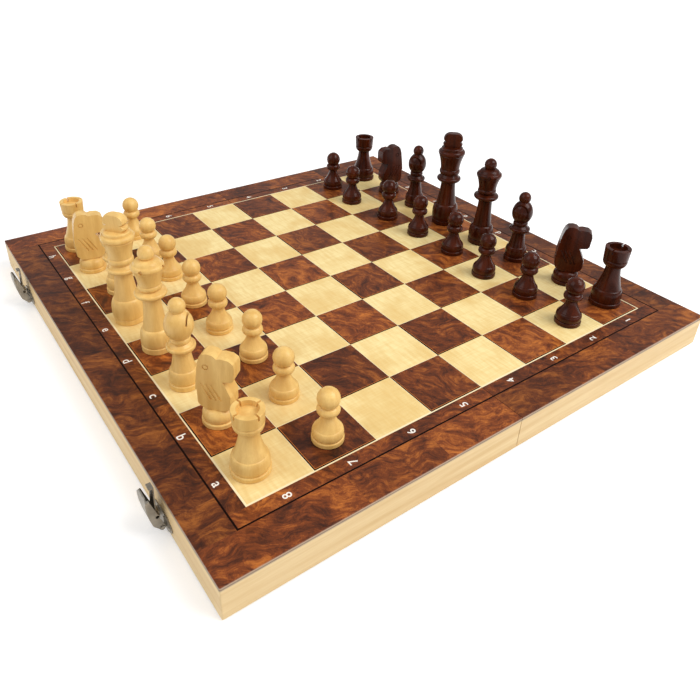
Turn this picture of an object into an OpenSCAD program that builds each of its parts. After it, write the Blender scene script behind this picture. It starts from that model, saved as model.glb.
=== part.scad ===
// A folding wooden games box, opened out flat with its playing field up, and the chess men set out on it.
// Millimetres. +Z is up and z = 0 is the plane of the rims, which face down while the box is open.
// x runs from the left half to the right half across the seam, and y runs from the front to the back.
// The origin is the middle of the seam. Ranks 8 to 1 lie along x and files a to h lie along y.

/* [Playing field] */
// Side of one square
square = 41; // [34:0.5:60]
// Width of the border round the field
border = 31; // [16:0.5:50]

/* [Half boxes] */
// Height of one half, from its rim to the playing surface
half_h = 23; // [20:0.5:50]
// Thickness of the playing panel
panel_t = 3; // [2:0.25:5]
// Thickness of the walls
wall_t = 8; // [6:0.5:15]
// Gap between the two halves along the seam
seam_gap = 0.5; // [0.3:0.1:1.5]
// Gap left between the rims when the box is shut
shut_gap = 0.1; // [0.05:0.05:0.5]
// Radius of the upright outer corners
corner_r = 0.8; // [0.4:0.1:5]

/* [Hinges] */
// Distance of each hinge from the middle of the seam
hinge_y = 110; // [60:1:125]
// Length of a hinge along the seam
hinge_l = 30; // [20:1:60]
// Width of one leaf, from the pin to its edge
leaf_w = 6; // [5:0.25:6]
// Thickness of a leaf
leaf_t = 0.8; // [0.6:0.1:1.2]
// Depth of a leaf's face below the rim
leaf_sink = 0.1; // [0.05:0.05:0.3]
// Radius of the barrel
barrel_r = 1.2; // [1.2:0.1:2]
// Radius of the hinge pin
hinge_pin_r = 0.6; // [0.4:0.05:0.7]
// Gap between two knuckles
knuckle_gap = 0.15; // [0.1:0.05:0.4]
// Distance of the leaf's screws from the hinge's middle
leaf_screw_y = 9; // [6:0.5:9]

/* [Screws] */
// Radius of a screw's shank
screw_r = 0.8; // [0.6:0.05:0.9]
// Radius of a screw's head
screw_head_r = 1.5; // [1.3:0.05:1.7]
// Height of a round head, and depth of a sunk one
screw_head_h = 0.6; // [0.4:0.05:0.6]
// Length of a shank in the wood
screw_l = 5; // [3:0.5:5.5]

/* [Latches] */
// Distance of the front latch from the middle of the box
front_latch_y = 130; // [60:1:160]
// Distance of the back latch from the middle of the box
back_latch_y = 126; // [60:1:160]
// Thickness of the sheet metal
sheet_t = 0.7; // [0.5:0.05:0.9]
// Length of the base plate
base_l = 25.4; // [22:0.2:40]
// Height of the base plate
base_h = 9.5; // [9:0.5:14]
// Height of the base plate's lower edge above the rim
base_z = 1.5; // [1.5:0.25:5]
// Distance of the lever's rivets out from the wall
rivet_out = 2.6; // [2.6:0.1:3.2]
// Height of the lever's rivets above the rim
rivet_z = 4; // [4:0.1:5]
// Radius of the lever's rivets
rivet_r = 0.8; // [0.6:0.05:0.9]
// Width of the lever
lever_w = 11; // [10.6:0.1:13]
// Length of the lever from its rivets to its tip
lever_l = 24; // [22:0.2:25]
// Lean of the lever away from the wall, in degrees
lever_lean = 17; // [16:0.5:24]
// Distance of the claw's pin from the lever's rivets
claw_pin_up = 9; // [8:0.1:10]
// Outer radius of the hollow claw pin
claw_pin_r = 1.4; // [1.1:0.05:1.5]
// Radius of the hollow in the claw pin
claw_pin_bore_r = 1; // [0.5:0.05:1]
// Width of the claw
claw_w = 6.5; // [4:0.1:6.6]
// Width of the claw at its hook
claw_tip_w = 4.4; // [3:0.1:6.6]
// Length of the claw from its pin to its hook
claw_l = 17; // [16.6:0.1:19]
// Lean of the claw towards the wall, in degrees
claw_lean = 3; // [1:0.5:6]
// Length of the claw's hook
hook_l = 2.2; // [1:0.1:2.4]
// Radial clearance of the pins and rivets
pin_gap = 0.05; // [0.02:0.01:0.08]

/* [Strikes] */
// Length of a strike
strike_l = 16; // [14:0.5:24]
// Height of a strike
strike_h = 8; // [7:0.25:12]
// Height of a strike's lip above the rim
strike_z = 2.4; // [2:0.1:4]
// Distance that a strike's lip stands out of its plate
strike_lip = 1.6; // [1:0.1:2.2]

/* [King] */
// Radius and height of the king's plinth
king_plinth = [10.4, 4.3]; // [2:0.1:20]
// Radius and height of the bulge above the plinth
king_bulge = [10.9, 14]; // [2:0.1:20]
// Radius at the foot of the stem, and height of the stem
king_stem = [8.3, 19.7]; // [2:0.1:40]
// Radius of the stem under the collar
king_neck_r = 5.9; // [3:0.1:6.5]
// Radius, height below the widest place and height above it of the collar
king_collar = [9.9, 2.6, 1.6]; // [1:0.1:20]
// Height of the slope between the collar and the bead
king_slope_h = 2.4; // [1:0.1:4]
// Radius and height of the bead above the collar
king_bead = [8.4, 4.8]; // [2:0.1:20]
// Radius at the foot of the crown, radius at its top, and height
king_crown = [7.8, 10.2, 11.8]; // [4:0.1:20]
// Radius and height of the rim round the crown
king_rim = [11, 4.4]; // [3:0.1:20]
// Height of the dome on the crown
king_dome_h = 2.4; // [1:0.1:4]
// Radius, height and thickness of the finial
king_finial = [8, 11.4, 6.6]; // [5:0.1:16]

/* [Queen] */
// Radius and height of the queen's plinth
queen_plinth = [10.2, 4.5]; // [2:0.1:20]
// Radius and height of the bulge above the plinth
queen_bulge = [10.3, 12.1]; // [2:0.1:20]
// Radius at the foot of the stem, and height of the stem
queen_stem = [7.7, 22.7]; // [2:0.1:40]
// Radius of the stem under the collar
queen_neck_r = 5.6; // [3:0.1:6]
// Radius, height below the widest place and height above it of the collar
queen_collar = [10.2, 2.9, 1.5]; // [1:0.1:20]
// Height of the slope between the collar and the bead
queen_slope_h = 1.3; // [1:0.1:4]
// Radius and height of the bead above the collar
queen_bead = [7.6, 3.9]; // [2:0.1:20]
// Radius at the foot of the coronet, radius at its top, and height
queen_crown = [7.2, 9.4, 9.6]; // [4:0.1:20]
// Radius and height of the rim round the coronet
queen_rim = [10.3, 4.4]; // [3:0.1:20]
// Height of the dome on the coronet
queen_dome_h = 3; // [1:0.1:5]
// Radius of the queen's ball
queen_ball_r = 5.1; // [4.4:0.1:6]
// Width of the nicks in the coronet
nick_w = 2.4; // [1:0.1:3]

/* [Bishop] */
// Radius and height of the bishop's plinth
bishop_plinth = [9.5, 3.8]; // [2:0.1:20]
// Radius and height of the bulge above the plinth
bishop_bulge = [9.1, 9]; // [2:0.1:20]
// Radius at the foot of the stem, and height of the stem
bishop_stem = [7.4, 12.9]; // [2:0.1:40]
// Radius of the stem under the collar
bishop_neck_r = 5.3; // [3:0.1:6]
// Radius, height below the widest place and height above it of the collar
bishop_collar = [8.8, 2.8, 1.4]; // [1:0.1:20]
// Radius and height of the bead above the collar
bishop_bead = [6.2, 3.2]; // [2:0.1:20]
// Radius and height of the mitre
bishop_mitre = [8.7, 17.4]; // [6:0.1:24]
// Radius of the bishop's ball
bishop_ball_r = 5.1; // [4:0.1:6]
// Width of the saw cut in the mitre
slit_w = 0.9; // [0.4:0.1:1.4]
// Depth of the saw cut from the top of the mitre
slit_h = 7; // [4:0.5:12]
// Distance of the saw cut from the middle of the mitre
slit_out = 5.4; // [3:0.1:7]

/* [Knight] */
// Radius and height of the knight's plinth
knight_plinth = [10, 3.2]; // [2:0.1:20]
// Radius and height of the bulge above the plinth
knight_bulge = [9.5, 7.4]; // [2:0.1:20]
// Radius of the neck under the horse
knight_neck_r = 5.6; // [4:0.1:7]
// Radius of the turned breast
knight_breast_r = 11.2; // [8:0.1:12]
// Height of the horse above the neck
knight_horse_h = 37; // [30:0.5:44]
// Thickness of the horse at the breast and at the ears
knight_thick = [11, 8.3]; // [4:0.1:12]
// Radius of the engraved eye
knight_eye_r = 1.8; // [1:0.1:2.4]

/* [Rook] */
// Radius and height of the rook's plinth
rook_plinth = [11, 3.1]; // [2:0.1:20]
// Radius and height of the bulge above the plinth
rook_bulge = [10.6, 8.7]; // [2:0.1:20]
// Radius at the foot of the stem, and height of the stem
rook_stem = [8.9, 16]; // [2:0.1:40]
// Radius of the stem under the ring
rook_neck_r = 5.2; // [3:0.1:6]
// Radius, height below the widest place and height above it of the ring
rook_collar = [8.3, 4, 1.2]; // [1:0.1:20]
// Radius and height of the tower
rook_tower = [8.6, 8]; // [7:0.1:20]
// Radius and depth of the hollow in the tower
rook_hollow = [6, 3.2]; // [2:0.1:6.4]
// Width and depth of the saw cuts in the tower
rook_cut = [1.1, 3]; // [0.5:0.1:5]

/* [Pawn] */
// Radius and height of the pawn's plinth
pawn_plinth = [9.3, 3.2]; // [2:0.1:20]
// Radius and height of the bulge above the plinth
pawn_bulge = [9, 5.8]; // [2:0.1:20]
// Radius at the foot of the stem, and height of the stem
pawn_stem = [7.6, 9.2]; // [2:0.1:40]
// Radius of the stem under the collar
pawn_neck_r = 3.7; // [2:0.1:5]
// Radius, height below the widest place and height above it of the collar
pawn_collar = [6.6, 2.9, 3.2]; // [1:0.1:12]
// Radius of the pawn's ball
pawn_ball_r = 6.5; // [5:0.1:7.5]

/* [Hidden] */
$fn = 96;
turn_steps = 7;
stem_steps = 8;
stem_flare = 1.7;
edge_r = 0.4;
plinth_round = 0.9;
groove_r = 0.6;
bulge_low = 0.36;
ball_seat = 40;
overrun = 1;

squares = 8;
field = squares * square;
board = field + 2 * border;
half_board = board / 2;
inner_edge = seam_gap / 2;
wall_h = half_h - panel_t;
axis_z = -shut_gap / 2;

knuckle_l = hinge_l / 3;
relief_r = barrel_r + 0.3;
notch_gap = 0.15;

ear_t = 0.8;
ear_r = 1.5;
cheek_gap = 0.15;
ear_outer = lever_w / 2 - sheet_t - cheek_gap;
base_end_r = 2.6;
base_waist = base_l / 2 - 5.4;
rivet = [rivet_out, rivet_z];
rivet_head_h = 0.3;
rivet_head_r = 1.3;
lever_edge = -1.6;
heel_r = 1.5;
tip_cut = 2.6;
claw_pin_in_lever = [-0.9, claw_pin_up];
claw_pin = rivet + turned(claw_pin_in_lever, -lever_lean);

dome_round = 1.2;
finial_waist = 0.46;
finial_foot_r = 5;
mitre_slope_h = 1.8;

wood = "wheat";
walnut = "saddlebrown";
boxwood = "khaki";
stained = "maroon";
brass = "goldenrod";
nickel = "silver";

// Side view of the horse, facing +x, as shares of its height above the neck
horse_side = [
    [-0.19, 0.01],
    [-0.275, 0.1],
    [-0.295, 0.26],
    [-0.272, 0.54],
    [-0.235, 0.82],
    [-0.2, 0.93],
    [-0.15, 0.985],
    [-0.07, 1],
    [0.015, 0.985],
    [0.065, 0.94],
    [0.13, 0.955],
    [0.25, 0.945],
    [0.325, 0.89],
    [0.34, 0.82],
    [0.325, 0.62],
    [0.29, 0.575],
    [0.14, 0.555],
    [0.175, 0.5],
    [0.28, 0.28],
    [0.3, 0.17],
    [0.27, 0.065],
    [0.19, 0.01]
];
breast_share = [0.13, 0.34, 0.5];
shoulder_share = 0.3;
eye_share = [-0.11, 0.77];
eye_line_w = 0.6;
engraving_h = 0.5;
mane_cuts = 3;
mane_lean = -30;
mane_cut_r = 0.7;
mane_cut_share = [-0.12, 0.34];
mane_cut_step = 0.08;
mane_cut_l = 0.32;

letters = ["a", "b", "c", "d", "e", "f", "g", "h"];
kinds = ["rook", "knight", "bishop", "queen", "king", "bishop", "knight", "rook"];
back_names = ["rook_a", "knight_b", "bishop_c", "queen", "king", "bishop_f", "knight_g", "rook_h"];

// How far each man stands from the middle of its square, from file a to file h
white_back_drift = [[-6, 2], [-2, 4], [-5, 3], [-4, 6], [-7, 7], [1, 6], [-5, 8], [-3, 8]];
white_pawn_drift = [[-1, -2], [-2, 1], [2, 4], [-2, 3], [-2, 2], [-1, 5], [-2, 0], [1, 3]];
black_pawn_drift = [[2, -1], [5, 0], [1, -2], [7, -1], [5, -1], [4, -1], [-3, 4], [2, 2]];
black_back_drift = [[7, 1], [7, -3], [2, 3], [0, 0], [1, 5], [2, 7], [2, 4], [2, 6]];

// How wide and how high each man is beside the sizes given for its kind, from file a to file h
as_given = [1, 1];
black_bishop_size = [0.94, 0.97];
black_back_size = [
    [1.03, 1.12],
    as_given,
    black_bishop_size,
    [1, 1.01],
    [1.05, 1.045],
    black_bishop_size,
    as_given,
    [1.03, 1.07]
];
black_pawn_size = [1, 1.03];

// Which way each man is turned, in degrees from +x, from file a to file h
white_turn = [9, -50, -37, 45, -52, -37, -10, 9];
black_turn = [9, -50, -155, 45, -45, -155, 172, 9];

// ---- Curves ----

function arc(centre, radii, from, to) = [
    for (i = [0 : turn_steps])
        let (a = from + (to - from) * i / turn_steps)
            centre + [radii.x * cos(a), radii.y * sin(a)]
];

// Where the latch on one side of the box sits along the wall
function latch_y(side) = side < 0 ? -front_latch_y : back_latch_y;

function turned(point, angle) = [
    point.x * cos(angle) - point.y * sin(angle),
    point.x * sin(angle) + point.y * cos(angle)
];

// ---- Half boxes ----

// Outline of one half seen from above, with x measured from the seam outwards
module half_outline() {
    translate([inner_edge, -half_board])
        square([half_board - corner_r - inner_edge, board]);
    translate([half_board - corner_r - overrun, corner_r - half_board])
        square([corner_r + overrun, board - 2 * corner_r]);
    for (side = [-1, 1])
        translate([half_board - corner_r, side * (half_board - corner_r)])
            circle(corner_r);
}

module frame_outline() {
    difference() {
        half_outline();
        translate([-overrun, wall_t - half_board])
            square([half_board - wall_t + overrun, board - 2 * wall_t]);
    }
}

// The outer wall meets the end walls in mitres
module outer_wall() {
    linear_extrude(wall_h)
        intersection() {
            frame_outline();
            polygon([
                [half_board - 2 * wall_t, 2 * wall_t - half_board],
                [half_board, -half_board],
                [half_board, half_board],
                [half_board - 2 * wall_t, half_board - 2 * wall_t]
            ]);
        }
}

module end_wall() {
    linear_extrude(wall_h)
        intersection() {
            frame_outline();
            polygon([
                [0, -half_board],
                [half_board, -half_board],
                [half_board - 2 * wall_t, 2 * wall_t - half_board],
                [0, 2 * wall_t - half_board]
            ]);
        }
}

module inner_wall() {
    difference() {
        translate([inner_edge, wall_t - half_board, 0])
            cube([wall_t, board - 2 * wall_t, wall_h]);
        for (side = [-1, 1])
            translate([0, side * hinge_y, 0])
                hinge_housing();
    }
}

module panel() {
    translate([0, 0, wall_h])
        linear_extrude(panel_t)
            half_outline();
}

// The walls' pilot holes and the screws share these places
module at_latch_screws() {
    for (side = [-1, 1])
        translate([half_board, side * (base_l / 2 - 2.6), base_z + base_h / 2])
            rotate([0, 90, 0])
                children();
}

module at_strike_screws() {
    for (side = [-1, 1])
        translate([half_board, side * (strike_l / 2 - 2.6), strike_z + strike_h - 2.8])
            rotate([0, 90, 0])
                children();
}

module at_leaf_screws() {
    for (side = [-1, 1])
        translate([leaf_w - screw_head_r - 0.7, side * leaf_screw_y, leaf_sink])
            children();
}

module pilot_hole() {
    translate([0, 0, -screw_l - 2 * pin_gap])
        cylinder(r = screw_r + pin_gap, h = screw_l + sheet_t + overrun);
}

module round_screw() {
    translate([0, 0, -screw_l])
        cylinder(r = screw_r, h = screw_l + sheet_t + screw_head_h / 2);
    translate([0, 0, sheet_t + pin_gap])
        cylinder(r1 = screw_head_r, r2 = screw_head_r - screw_head_h, h = screw_head_h);
}

// A sunk screw points up into the rim and its head lies flush with the leaf
module sunk_screw() {
    cylinder(r1 = screw_head_r, r2 = screw_r, h = screw_head_h);
    cylinder(r = screw_r, h = screw_l + leaf_t);
}

module sunk_hole() {
    translate([0, 0, -overrun])
        cylinder(r = screw_head_r + pin_gap, h = overrun);
    cylinder(r1 = screw_head_r + pin_gap, r2 = screw_r + pin_gap, h = screw_head_h);
    cylinder(r = screw_r + pin_gap, h = screw_l + leaf_t + 2 * pin_gap);
}

// ---- Hinges ----

module along_seam(r, from, to) {
    translate([0, to, axis_z])
        rotate([90, 0, 0])
            cylinder(r = r, h = to - from);
}

// What the inner wall gives up for a hinge: the leaf's bed, room for the barrel, and pilot holes
module hinge_housing() {
    translate([-overrun, -hinge_l / 2 - pin_gap, -overrun])
        cube([leaf_w + pin_gap + overrun, hinge_l + 2 * pin_gap, leaf_sink + leaf_t + overrun]);
    along_seam(relief_r, -hinge_l / 2 - knuckle_gap, hinge_l / 2 + knuckle_gap);
    at_leaf_screws()
        sunk_hole();
}

// The right leaf holds the middle knuckle and the left leaf the other two
module leaf(has_middle) {
    knuckles = has_middle ? [0] : [-1, 1];
    notches = has_middle ? [-1, 1] : [0];
    difference() {
        union() {
            translate([0, -hinge_l / 2, leaf_sink])
                cube([leaf_w, hinge_l, leaf_t]);
            for (k = knuckles)
                along_seam(barrel_r, k * knuckle_l - knuckle_l / 2, k * knuckle_l + knuckle_l / 2);
        }
        for (k = notches)
            along_seam(
                barrel_r + notch_gap,
                k * knuckle_l - knuckle_l / 2 - (k == -1 ? overrun : knuckle_gap),
                k * knuckle_l + knuckle_l / 2 + (k == 1 ? overrun : knuckle_gap)
            );
        along_seam(hinge_pin_r + pin_gap, -hinge_l, hinge_l);
        at_leaf_screws()
            sunk_hole();
    }
}

module left_leaf(side) {
    color(brass)
        translate([0, side * hinge_y, 0])
            mirror([1, 0, 0])
                leaf(false);
}

module right_leaf(side) {
    color(brass)
        translate([0, side * hinge_y, 0])
            leaf(true);
}

module hinge_pins() {
    color(brass)
        for (side = [-1, 1])
            translate([0, side * hinge_y, 0])
                along_seam(hinge_pin_r, -hinge_l / 2, hinge_l / 2);
}

// ---- Walls and panels ----

module left_panel() {
    color(walnut)
        mirror([1, 0, 0])
            panel();
}

module right_panel() {
    color(walnut)
        panel();
}

module left_outer_wall() {
    color(wood)
        difference() {
            mirror([1, 0, 0])
                outer_wall();
            for (side = [-1, 1])
                translate([0, latch_y(side), 0])
                    mirror([1, 0, 0])
                        at_latch_screws()
                            pilot_hole();
        }
}

module right_outer_wall() {
    color(wood)
        difference() {
            outer_wall();
            for (side = [-1, 1])
                translate([0, latch_y(side), 0])
                    at_strike_screws()
                        pilot_hole();
        }
}

module left_inner_wall() {
    color(wood)
        mirror([1, 0, 0])
            inner_wall();
}

module right_inner_wall() {
    color(wood)
        inner_wall();
}

module left_front_wall() {
    color(wood)
        mirror([1, 0, 0])
            end_wall();
}

module right_front_wall() {
    color(wood)
        end_wall();
}

module left_back_wall() {
    color(wood)
        mirror([1, 0, 0])
            mirror([0, 1, 0])
                end_wall();
}

module right_back_wall() {
    color(wood)
        mirror([0, 1, 0])
            end_wall();
}

module left_half_screws() {
    color(brass)
        for (side = [-1, 1])
            translate([0, side * hinge_y, 0])
                mirror([1, 0, 0])
                    at_leaf_screws()
                        sunk_screw();
    color(nickel)
        for (side = [-1, 1])
            translate([0, latch_y(side), 0])
                mirror([1, 0, 0])
                    at_latch_screws()
                        round_screw();
}

module right_half_screws() {
    color(brass)
        for (side = [-1, 1])
            translate([0, side * hinge_y, 0])
                at_leaf_screws()
                    sunk_screw();
    color(nickel)
        for (side = [-1, 1])
            translate([0, latch_y(side), 0])
                at_strike_screws()
                    round_screw();
}

// ---- Latches ----

// Profiles of the latch are drawn with x out from the wall and y up from the rim
module out_from_left_wall(side) {
    translate([-half_board, latch_y(side), 0])
        mirror([1, 0, 0])
            rotate([90, 0, 0])
                children();
}

module base_plate() {
    linear_extrude(sheet_t) {
        polygon([
            [-base_waist, -base_h / 2],
            [base_waist, -base_h / 2],
            [base_l / 2 - base_end_r, -base_end_r],
            [base_l / 2 - base_end_r, base_end_r],
            [base_waist, base_h / 2],
            [-base_waist, base_h / 2],
            [base_end_r - base_l / 2, base_end_r],
            [base_end_r - base_l / 2, -base_end_r]
        ]);
        for (side = [-1, 1])
            translate([side * (base_l / 2 - base_end_r), 0])
                circle(base_end_r);
    }
}

module ear() {
    linear_extrude(ear_t) {
        translate([0, rivet_z - ear_r])
            square([rivet_out, 2 * ear_r]);
        translate(rivet)
            circle(ear_r);
        translate([0, rivet_z])
            square([sheet_t + 0.6, base_h - rivet_z + base_z - 1]);
    }
}

module latch_base(side) {
    color(nickel)
        difference() {
            union() {
                translate([-half_board, latch_y(side), base_z + base_h / 2])
                    rotate([90, 0, -90])
                        base_plate();
                out_from_left_wall(side)
                    for (z = [-ear_outer, ear_outer - ear_t])
                        translate([0, 0, z])
                            ear();
            }
            out_from_left_wall(side)
                translate(rivet)
                    cylinder(r = rivet_r + pin_gap, h = 2 * lever_w, center = true);
            translate([0, latch_y(side), 0])
                mirror([1, 0, 0])
                    at_latch_screws()
                        pilot_hole();
        }
}

module lever_rivets() {
    color(nickel)
        for (side = [-1, 1])
            out_from_left_wall(side)
                translate(rivet)
                    for (end = [0, 1])
                        mirror([0, 0, end]) {
                            translate([0, 0, ear_outer - ear_t])
                                cylinder(r = rivet_r, h = lever_w / 2 - ear_outer + ear_t + pin_gap);
                            translate([0, 0, lever_w / 2 + pin_gap])
                                cylinder(r = rivet_head_r, h = rivet_head_h);
                        }
}

// The lever's back, from its heel to its tip, with its rivets at the origin and shut upright
function lever_back(depth) = [
    [2.4 - depth, 2.4],
    [3.3 - depth, 4.6],
    [3.1 - depth, 0.38 * lever_l],
    [2.2 - depth, 0.65 * lever_l],
    [0.9 - depth, 0.87 * lever_l],
    [-0.5 - depth, lever_l]
];

module lever_cheek() {
    linear_extrude(sheet_t)
        difference() {
            union() {
                circle(heel_r);
                polygon(concat(
                    [[lever_edge, 0], [0.8, -1.25]],
                    lever_back(0),
                    [[lever_edge, lever_l - 0.5]]
                ));
            }
            circle(rivet_r + pin_gap);
            translate(claw_pin_in_lever)
                circle(claw_pin_r + pin_gap);
        }
}

module lever_shut() {
    difference() {
        union() {
            for (z = [-lever_w / 2, lever_w / 2 - sheet_t])
                translate([0, 0, z])
                    lever_cheek();
            translate([0, 0, -lever_w / 2])
                linear_extrude(lever_w)
                    polygon(concat(
                        lever_back(0),
                        [for (i = [5 : -1 : 0]) lever_back(sheet_t)[i]]
                    ));
        }
        for (end = [0, 1])
            mirror([0, 0, end])
                translate([0, lever_l, lever_w / 2])
                    rotate([45, 0, 0])
                        cube([4 * heel_r * 2, tip_cut, tip_cut], center = true);
    }
}

module latch_lever(side) {
    color(nickel)
        out_from_left_wall(side)
            translate(rivet)
                rotate(-lever_lean)
                    lever_shut();
}

module claw_pin(side) {
    color(nickel)
        out_from_left_wall(side)
            translate(claw_pin)
                difference() {
                    cylinder(r = claw_pin_r, h = lever_w + 2 * pin_gap, center = true);
                    cylinder(r = claw_pin_bore_r, h = 2 * lever_w, center = true);
                }
}

module latch_claw(side) {
    eye_r = claw_pin_r + pin_gap + sheet_t;
    color(nickel)
        out_from_left_wall(side)
            translate(claw_pin)
                rotate(claw_lean)
                    difference() {
                        intersection() {
                            linear_extrude(claw_w, center = true) {
                                circle(eye_r);
                                translate([-sheet_t / 2, 0])
                                    square([sheet_t, claw_l]);
                                translate([-sheet_t / 2, claw_l - sheet_t])
                                    square([hook_l + sheet_t / 2, sheet_t]);
                            }
                            rotate([0, -90, 0])
                                linear_extrude(4 * (hook_l + eye_r), center = true)
                                    polygon([
                                        [-claw_w, -eye_r - overrun],
                                        [claw_w, -eye_r - overrun],
                                        [claw_w / 2, eye_r],
                                        [claw_tip_w / 2, claw_l + overrun],
                                        [-claw_tip_w / 2, claw_l + overrun],
                                        [-claw_w / 2, eye_r]
                                    ]);
                        }
                        cylinder(r = claw_pin_r + pin_gap, h = 2 * lever_w, center = true);
                    }
}

// The claws hook behind the strikes' lips when the box is shut
module strikes() {
    color(nickel)
        for (side = [-1, 1])
            difference() {
                union() {
                    translate([half_board, latch_y(side) - strike_l / 2, strike_z])
                        cube([sheet_t, strike_l, strike_h]);
                    translate([half_board, latch_y(side) - claw_w / 2 - 1, strike_z])
                        cube([sheet_t + strike_lip, claw_w + 2, sheet_t]);
                }
                translate([0, latch_y(side), 0])
                    at_strike_screws()
                        pilot_hole();
            }
}

// ---- Chess men ----

// Plinth, bulge, stem and collar that every turned man has, as [radius, height] points from the axis
function foot(plinth, bulge) =
    let (
        low = bulge_low * (bulge[1]),
        waist = bulge[0] - groove_r
    )
    concat(
        [[0, 0], [plinth[0] - edge_r, 0], [plinth[0], edge_r]],
        arc([plinth[0] - plinth_round, plinth[1] - plinth_round], [plinth_round, plinth_round], 0, 90),
        arc([waist, plinth[1] + low], [groove_r, low], -80, 0)
    );

function shoulder(plinth, bulge, top_r) =
    let (low = bulge_low * bulge[1])
    arc(
        [top_r - groove_r / 2, plinth[1] + low],
        [bulge[0] - top_r + groove_r / 2, bulge[1] - low],
        8,
        84
    );

function stem_line(z, stem, neck_r) = [
    for (i = [0 : stem_steps])
        let (t = i / stem_steps)
            [neck_r + (stem[0] - neck_r) * pow(1 - t, stem_flare), z + stem[1] * t]
];

function collar_line(z, neck_r, collar) = concat(
    arc([neck_r, z + collar[1]], [collar[0] - neck_r, collar[1]], -70, 0),
    arc([collar[0] - collar[2], z + collar[1]], [collar[2], collar[2]], 15, 85)
);

function bead_line(z, bead, foot_r) = arc(
    [foot_r, z + bead[1] / 2],
    [bead[0] - foot_r, bead[1] / 2],
    -75,
    75
);

function ball_line(z, r) = arc([0, z + r * sin(ball_seat)], [r, r], -ball_seat, 90);

function stand(plinth, bulge, stem, neck_r, collar) =
    let (
        stem_z = plinth[1] + bulge[1],
        neck_z = stem_z + stem[1]
    )
    concat(
        foot(plinth, bulge),
        shoulder(plinth, bulge, stem[0]),
        stem_line(stem_z, stem, neck_r),
        collar_line(neck_z, neck_r, collar)
    );

function stand_h(plinth, bulge, stem, collar) = plinth[1] + bulge[1] + stem[1] + collar[1] + collar[2];

// Crown of a king or queen: a bead, a flared side and a rounded rim
function crown_line(z, collar_r, bead, crown, rim, slope_h) =
    let (
        bead_z = z + slope_h,
        side_z = bead_z + bead[1],
        rim_z = side_z + crown[2]
    )
    concat(
        [[collar_r - 1.6, z], [bead[0] - 1.4, bead_z - 0.2]],
        bead_line(bead_z, bead, bead[0] - 1.4),
        [for (i = [0 : stem_steps])
            let (t = i / stem_steps)
                [crown[0] + (crown[1] - crown[0]) * pow(t, stem_flare), side_z + crown[2] * t]],
        arc([rim[0] - 2, rim_z + rim[1] / 2], [2, rim[1] / 2], -60, 80)
    );

function crown_h(bead, crown, rim, slope_h) = slope_h + bead[1] + crown[2] + rim[1];

// A turned man is as much wider and higher than its profile as its size says
module lathe(size) {
    rotate_extrude()
        scale(size)
            children();
}

module king(size) {
    crown_z = stand_h(king_plinth, king_bulge, king_stem, king_collar);
    dome_z = crown_z + crown_h(king_bead, king_crown, king_rim, king_slope_h);
    finial_z = dome_z + king_dome_h - dome_round;
    finial_r = king_finial[0];
    finial_h = king_finial[1] + dome_round;
    waist_z = finial_z + finial_waist * finial_h;
    lathe(size)
        polygon(concat(
            stand(king_plinth, king_bulge, king_stem, king_neck_r, king_collar),
            crown_line(crown_z, king_collar[0], king_bead, king_crown, king_rim, king_slope_h),
            [[king_rim[0] - 2.2, dome_z]],
            arc([king_rim[0] - 3.4, dome_z + dome_round], [dome_round, dome_round], 0, 80),
            [[finial_foot_r, dome_z + king_dome_h], [0, dome_z + king_dome_h]]
        ));
    intersection() {
        lathe(size)
            polygon(concat(
                [[0, finial_z], [finial_foot_r, finial_z]],
                arc([finial_r - 2, waist_z - 2.2], [2, 1.6], -50, 60),
                [[finial_r - 2.2, waist_z]],
                arc([finial_r - 2, waist_z + 2], [2, 1.6], -55, 0),
                arc([finial_r - 4.5, waist_z + 2], [4.5, finial_z + finial_h - waist_z - 2], 10, 85),
                [[0, finial_z + finial_h]]
            ));
        translate([-2 * finial_r, -king_finial[2] / 2, size.y * finial_z - overrun])
            cube([4 * finial_r, king_finial[2], size.y * finial_h + 2 * overrun]);
    }
}

module queen(size) {
    crown_z = stand_h(queen_plinth, queen_bulge, queen_stem, queen_collar);
    dome_z = crown_z + crown_h(queen_bead, queen_crown, queen_rim, queen_slope_h);
    ball_foot_r = queen_ball_r * cos(ball_seat);
    difference() {
        lathe(size)
            polygon(concat(
                stand(queen_plinth, queen_bulge, queen_stem, queen_neck_r, queen_collar),
                crown_line(crown_z, queen_collar[0], queen_bead, queen_crown, queen_rim, queen_slope_h),
                arc([ball_foot_r, dome_z], [queen_rim[0] - 2 - ball_foot_r, queen_dome_h], 20, 85),
                ball_line(dome_z + queen_dome_h, queen_ball_r)
            ));
        for (i = [0 : 3])
            rotate(90 * i)
                translate([size.x * queen_rim[0], 0, size.y * (dome_z - queen_rim[1] / 2)])
                    rotate([45, 0, 0])
                        cube([nick_w, nick_w, nick_w], center = true);
    }
}

module bishop(size) {
    bead_z = stand_h(bishop_plinth, bishop_bulge, bishop_stem, bishop_collar) + mitre_slope_h;
    mitre_z = bead_z + bishop_bead[1];
    mitre_foot_r = bishop_bead[0] - 0.8;
    widest_z = mitre_z + 0.46 * bishop_mitre[1];
    top_z = mitre_z + bishop_mitre[1];
    ball_foot_r = bishop_ball_r * cos(ball_seat);
    difference() {
        lathe(size)
            polygon(concat(
                stand(bishop_plinth, bishop_bulge, bishop_stem, bishop_neck_r, bishop_collar),
                [[bishop_collar[0] - 1.6, bead_z - mitre_slope_h], [mitre_foot_r, bead_z - 0.2]],
                bead_line(bead_z, bishop_bead, mitre_foot_r),
                arc([0, widest_z], [bishop_mitre[0], 1.25 * (widest_z - mitre_z)], -50, 0),
                arc([0, widest_z], [bishop_mitre[0], 1.11 * (top_z - widest_z)], 9, 63),
                ball_line(top_z, bishop_ball_r)
            ));
        translate([size.x * slit_out, -bishop_mitre[0], size.y * top_z - slit_h])
            cube([slit_w, 2 * bishop_mitre[0], slit_h + 0.4]);
    }
}

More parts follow.
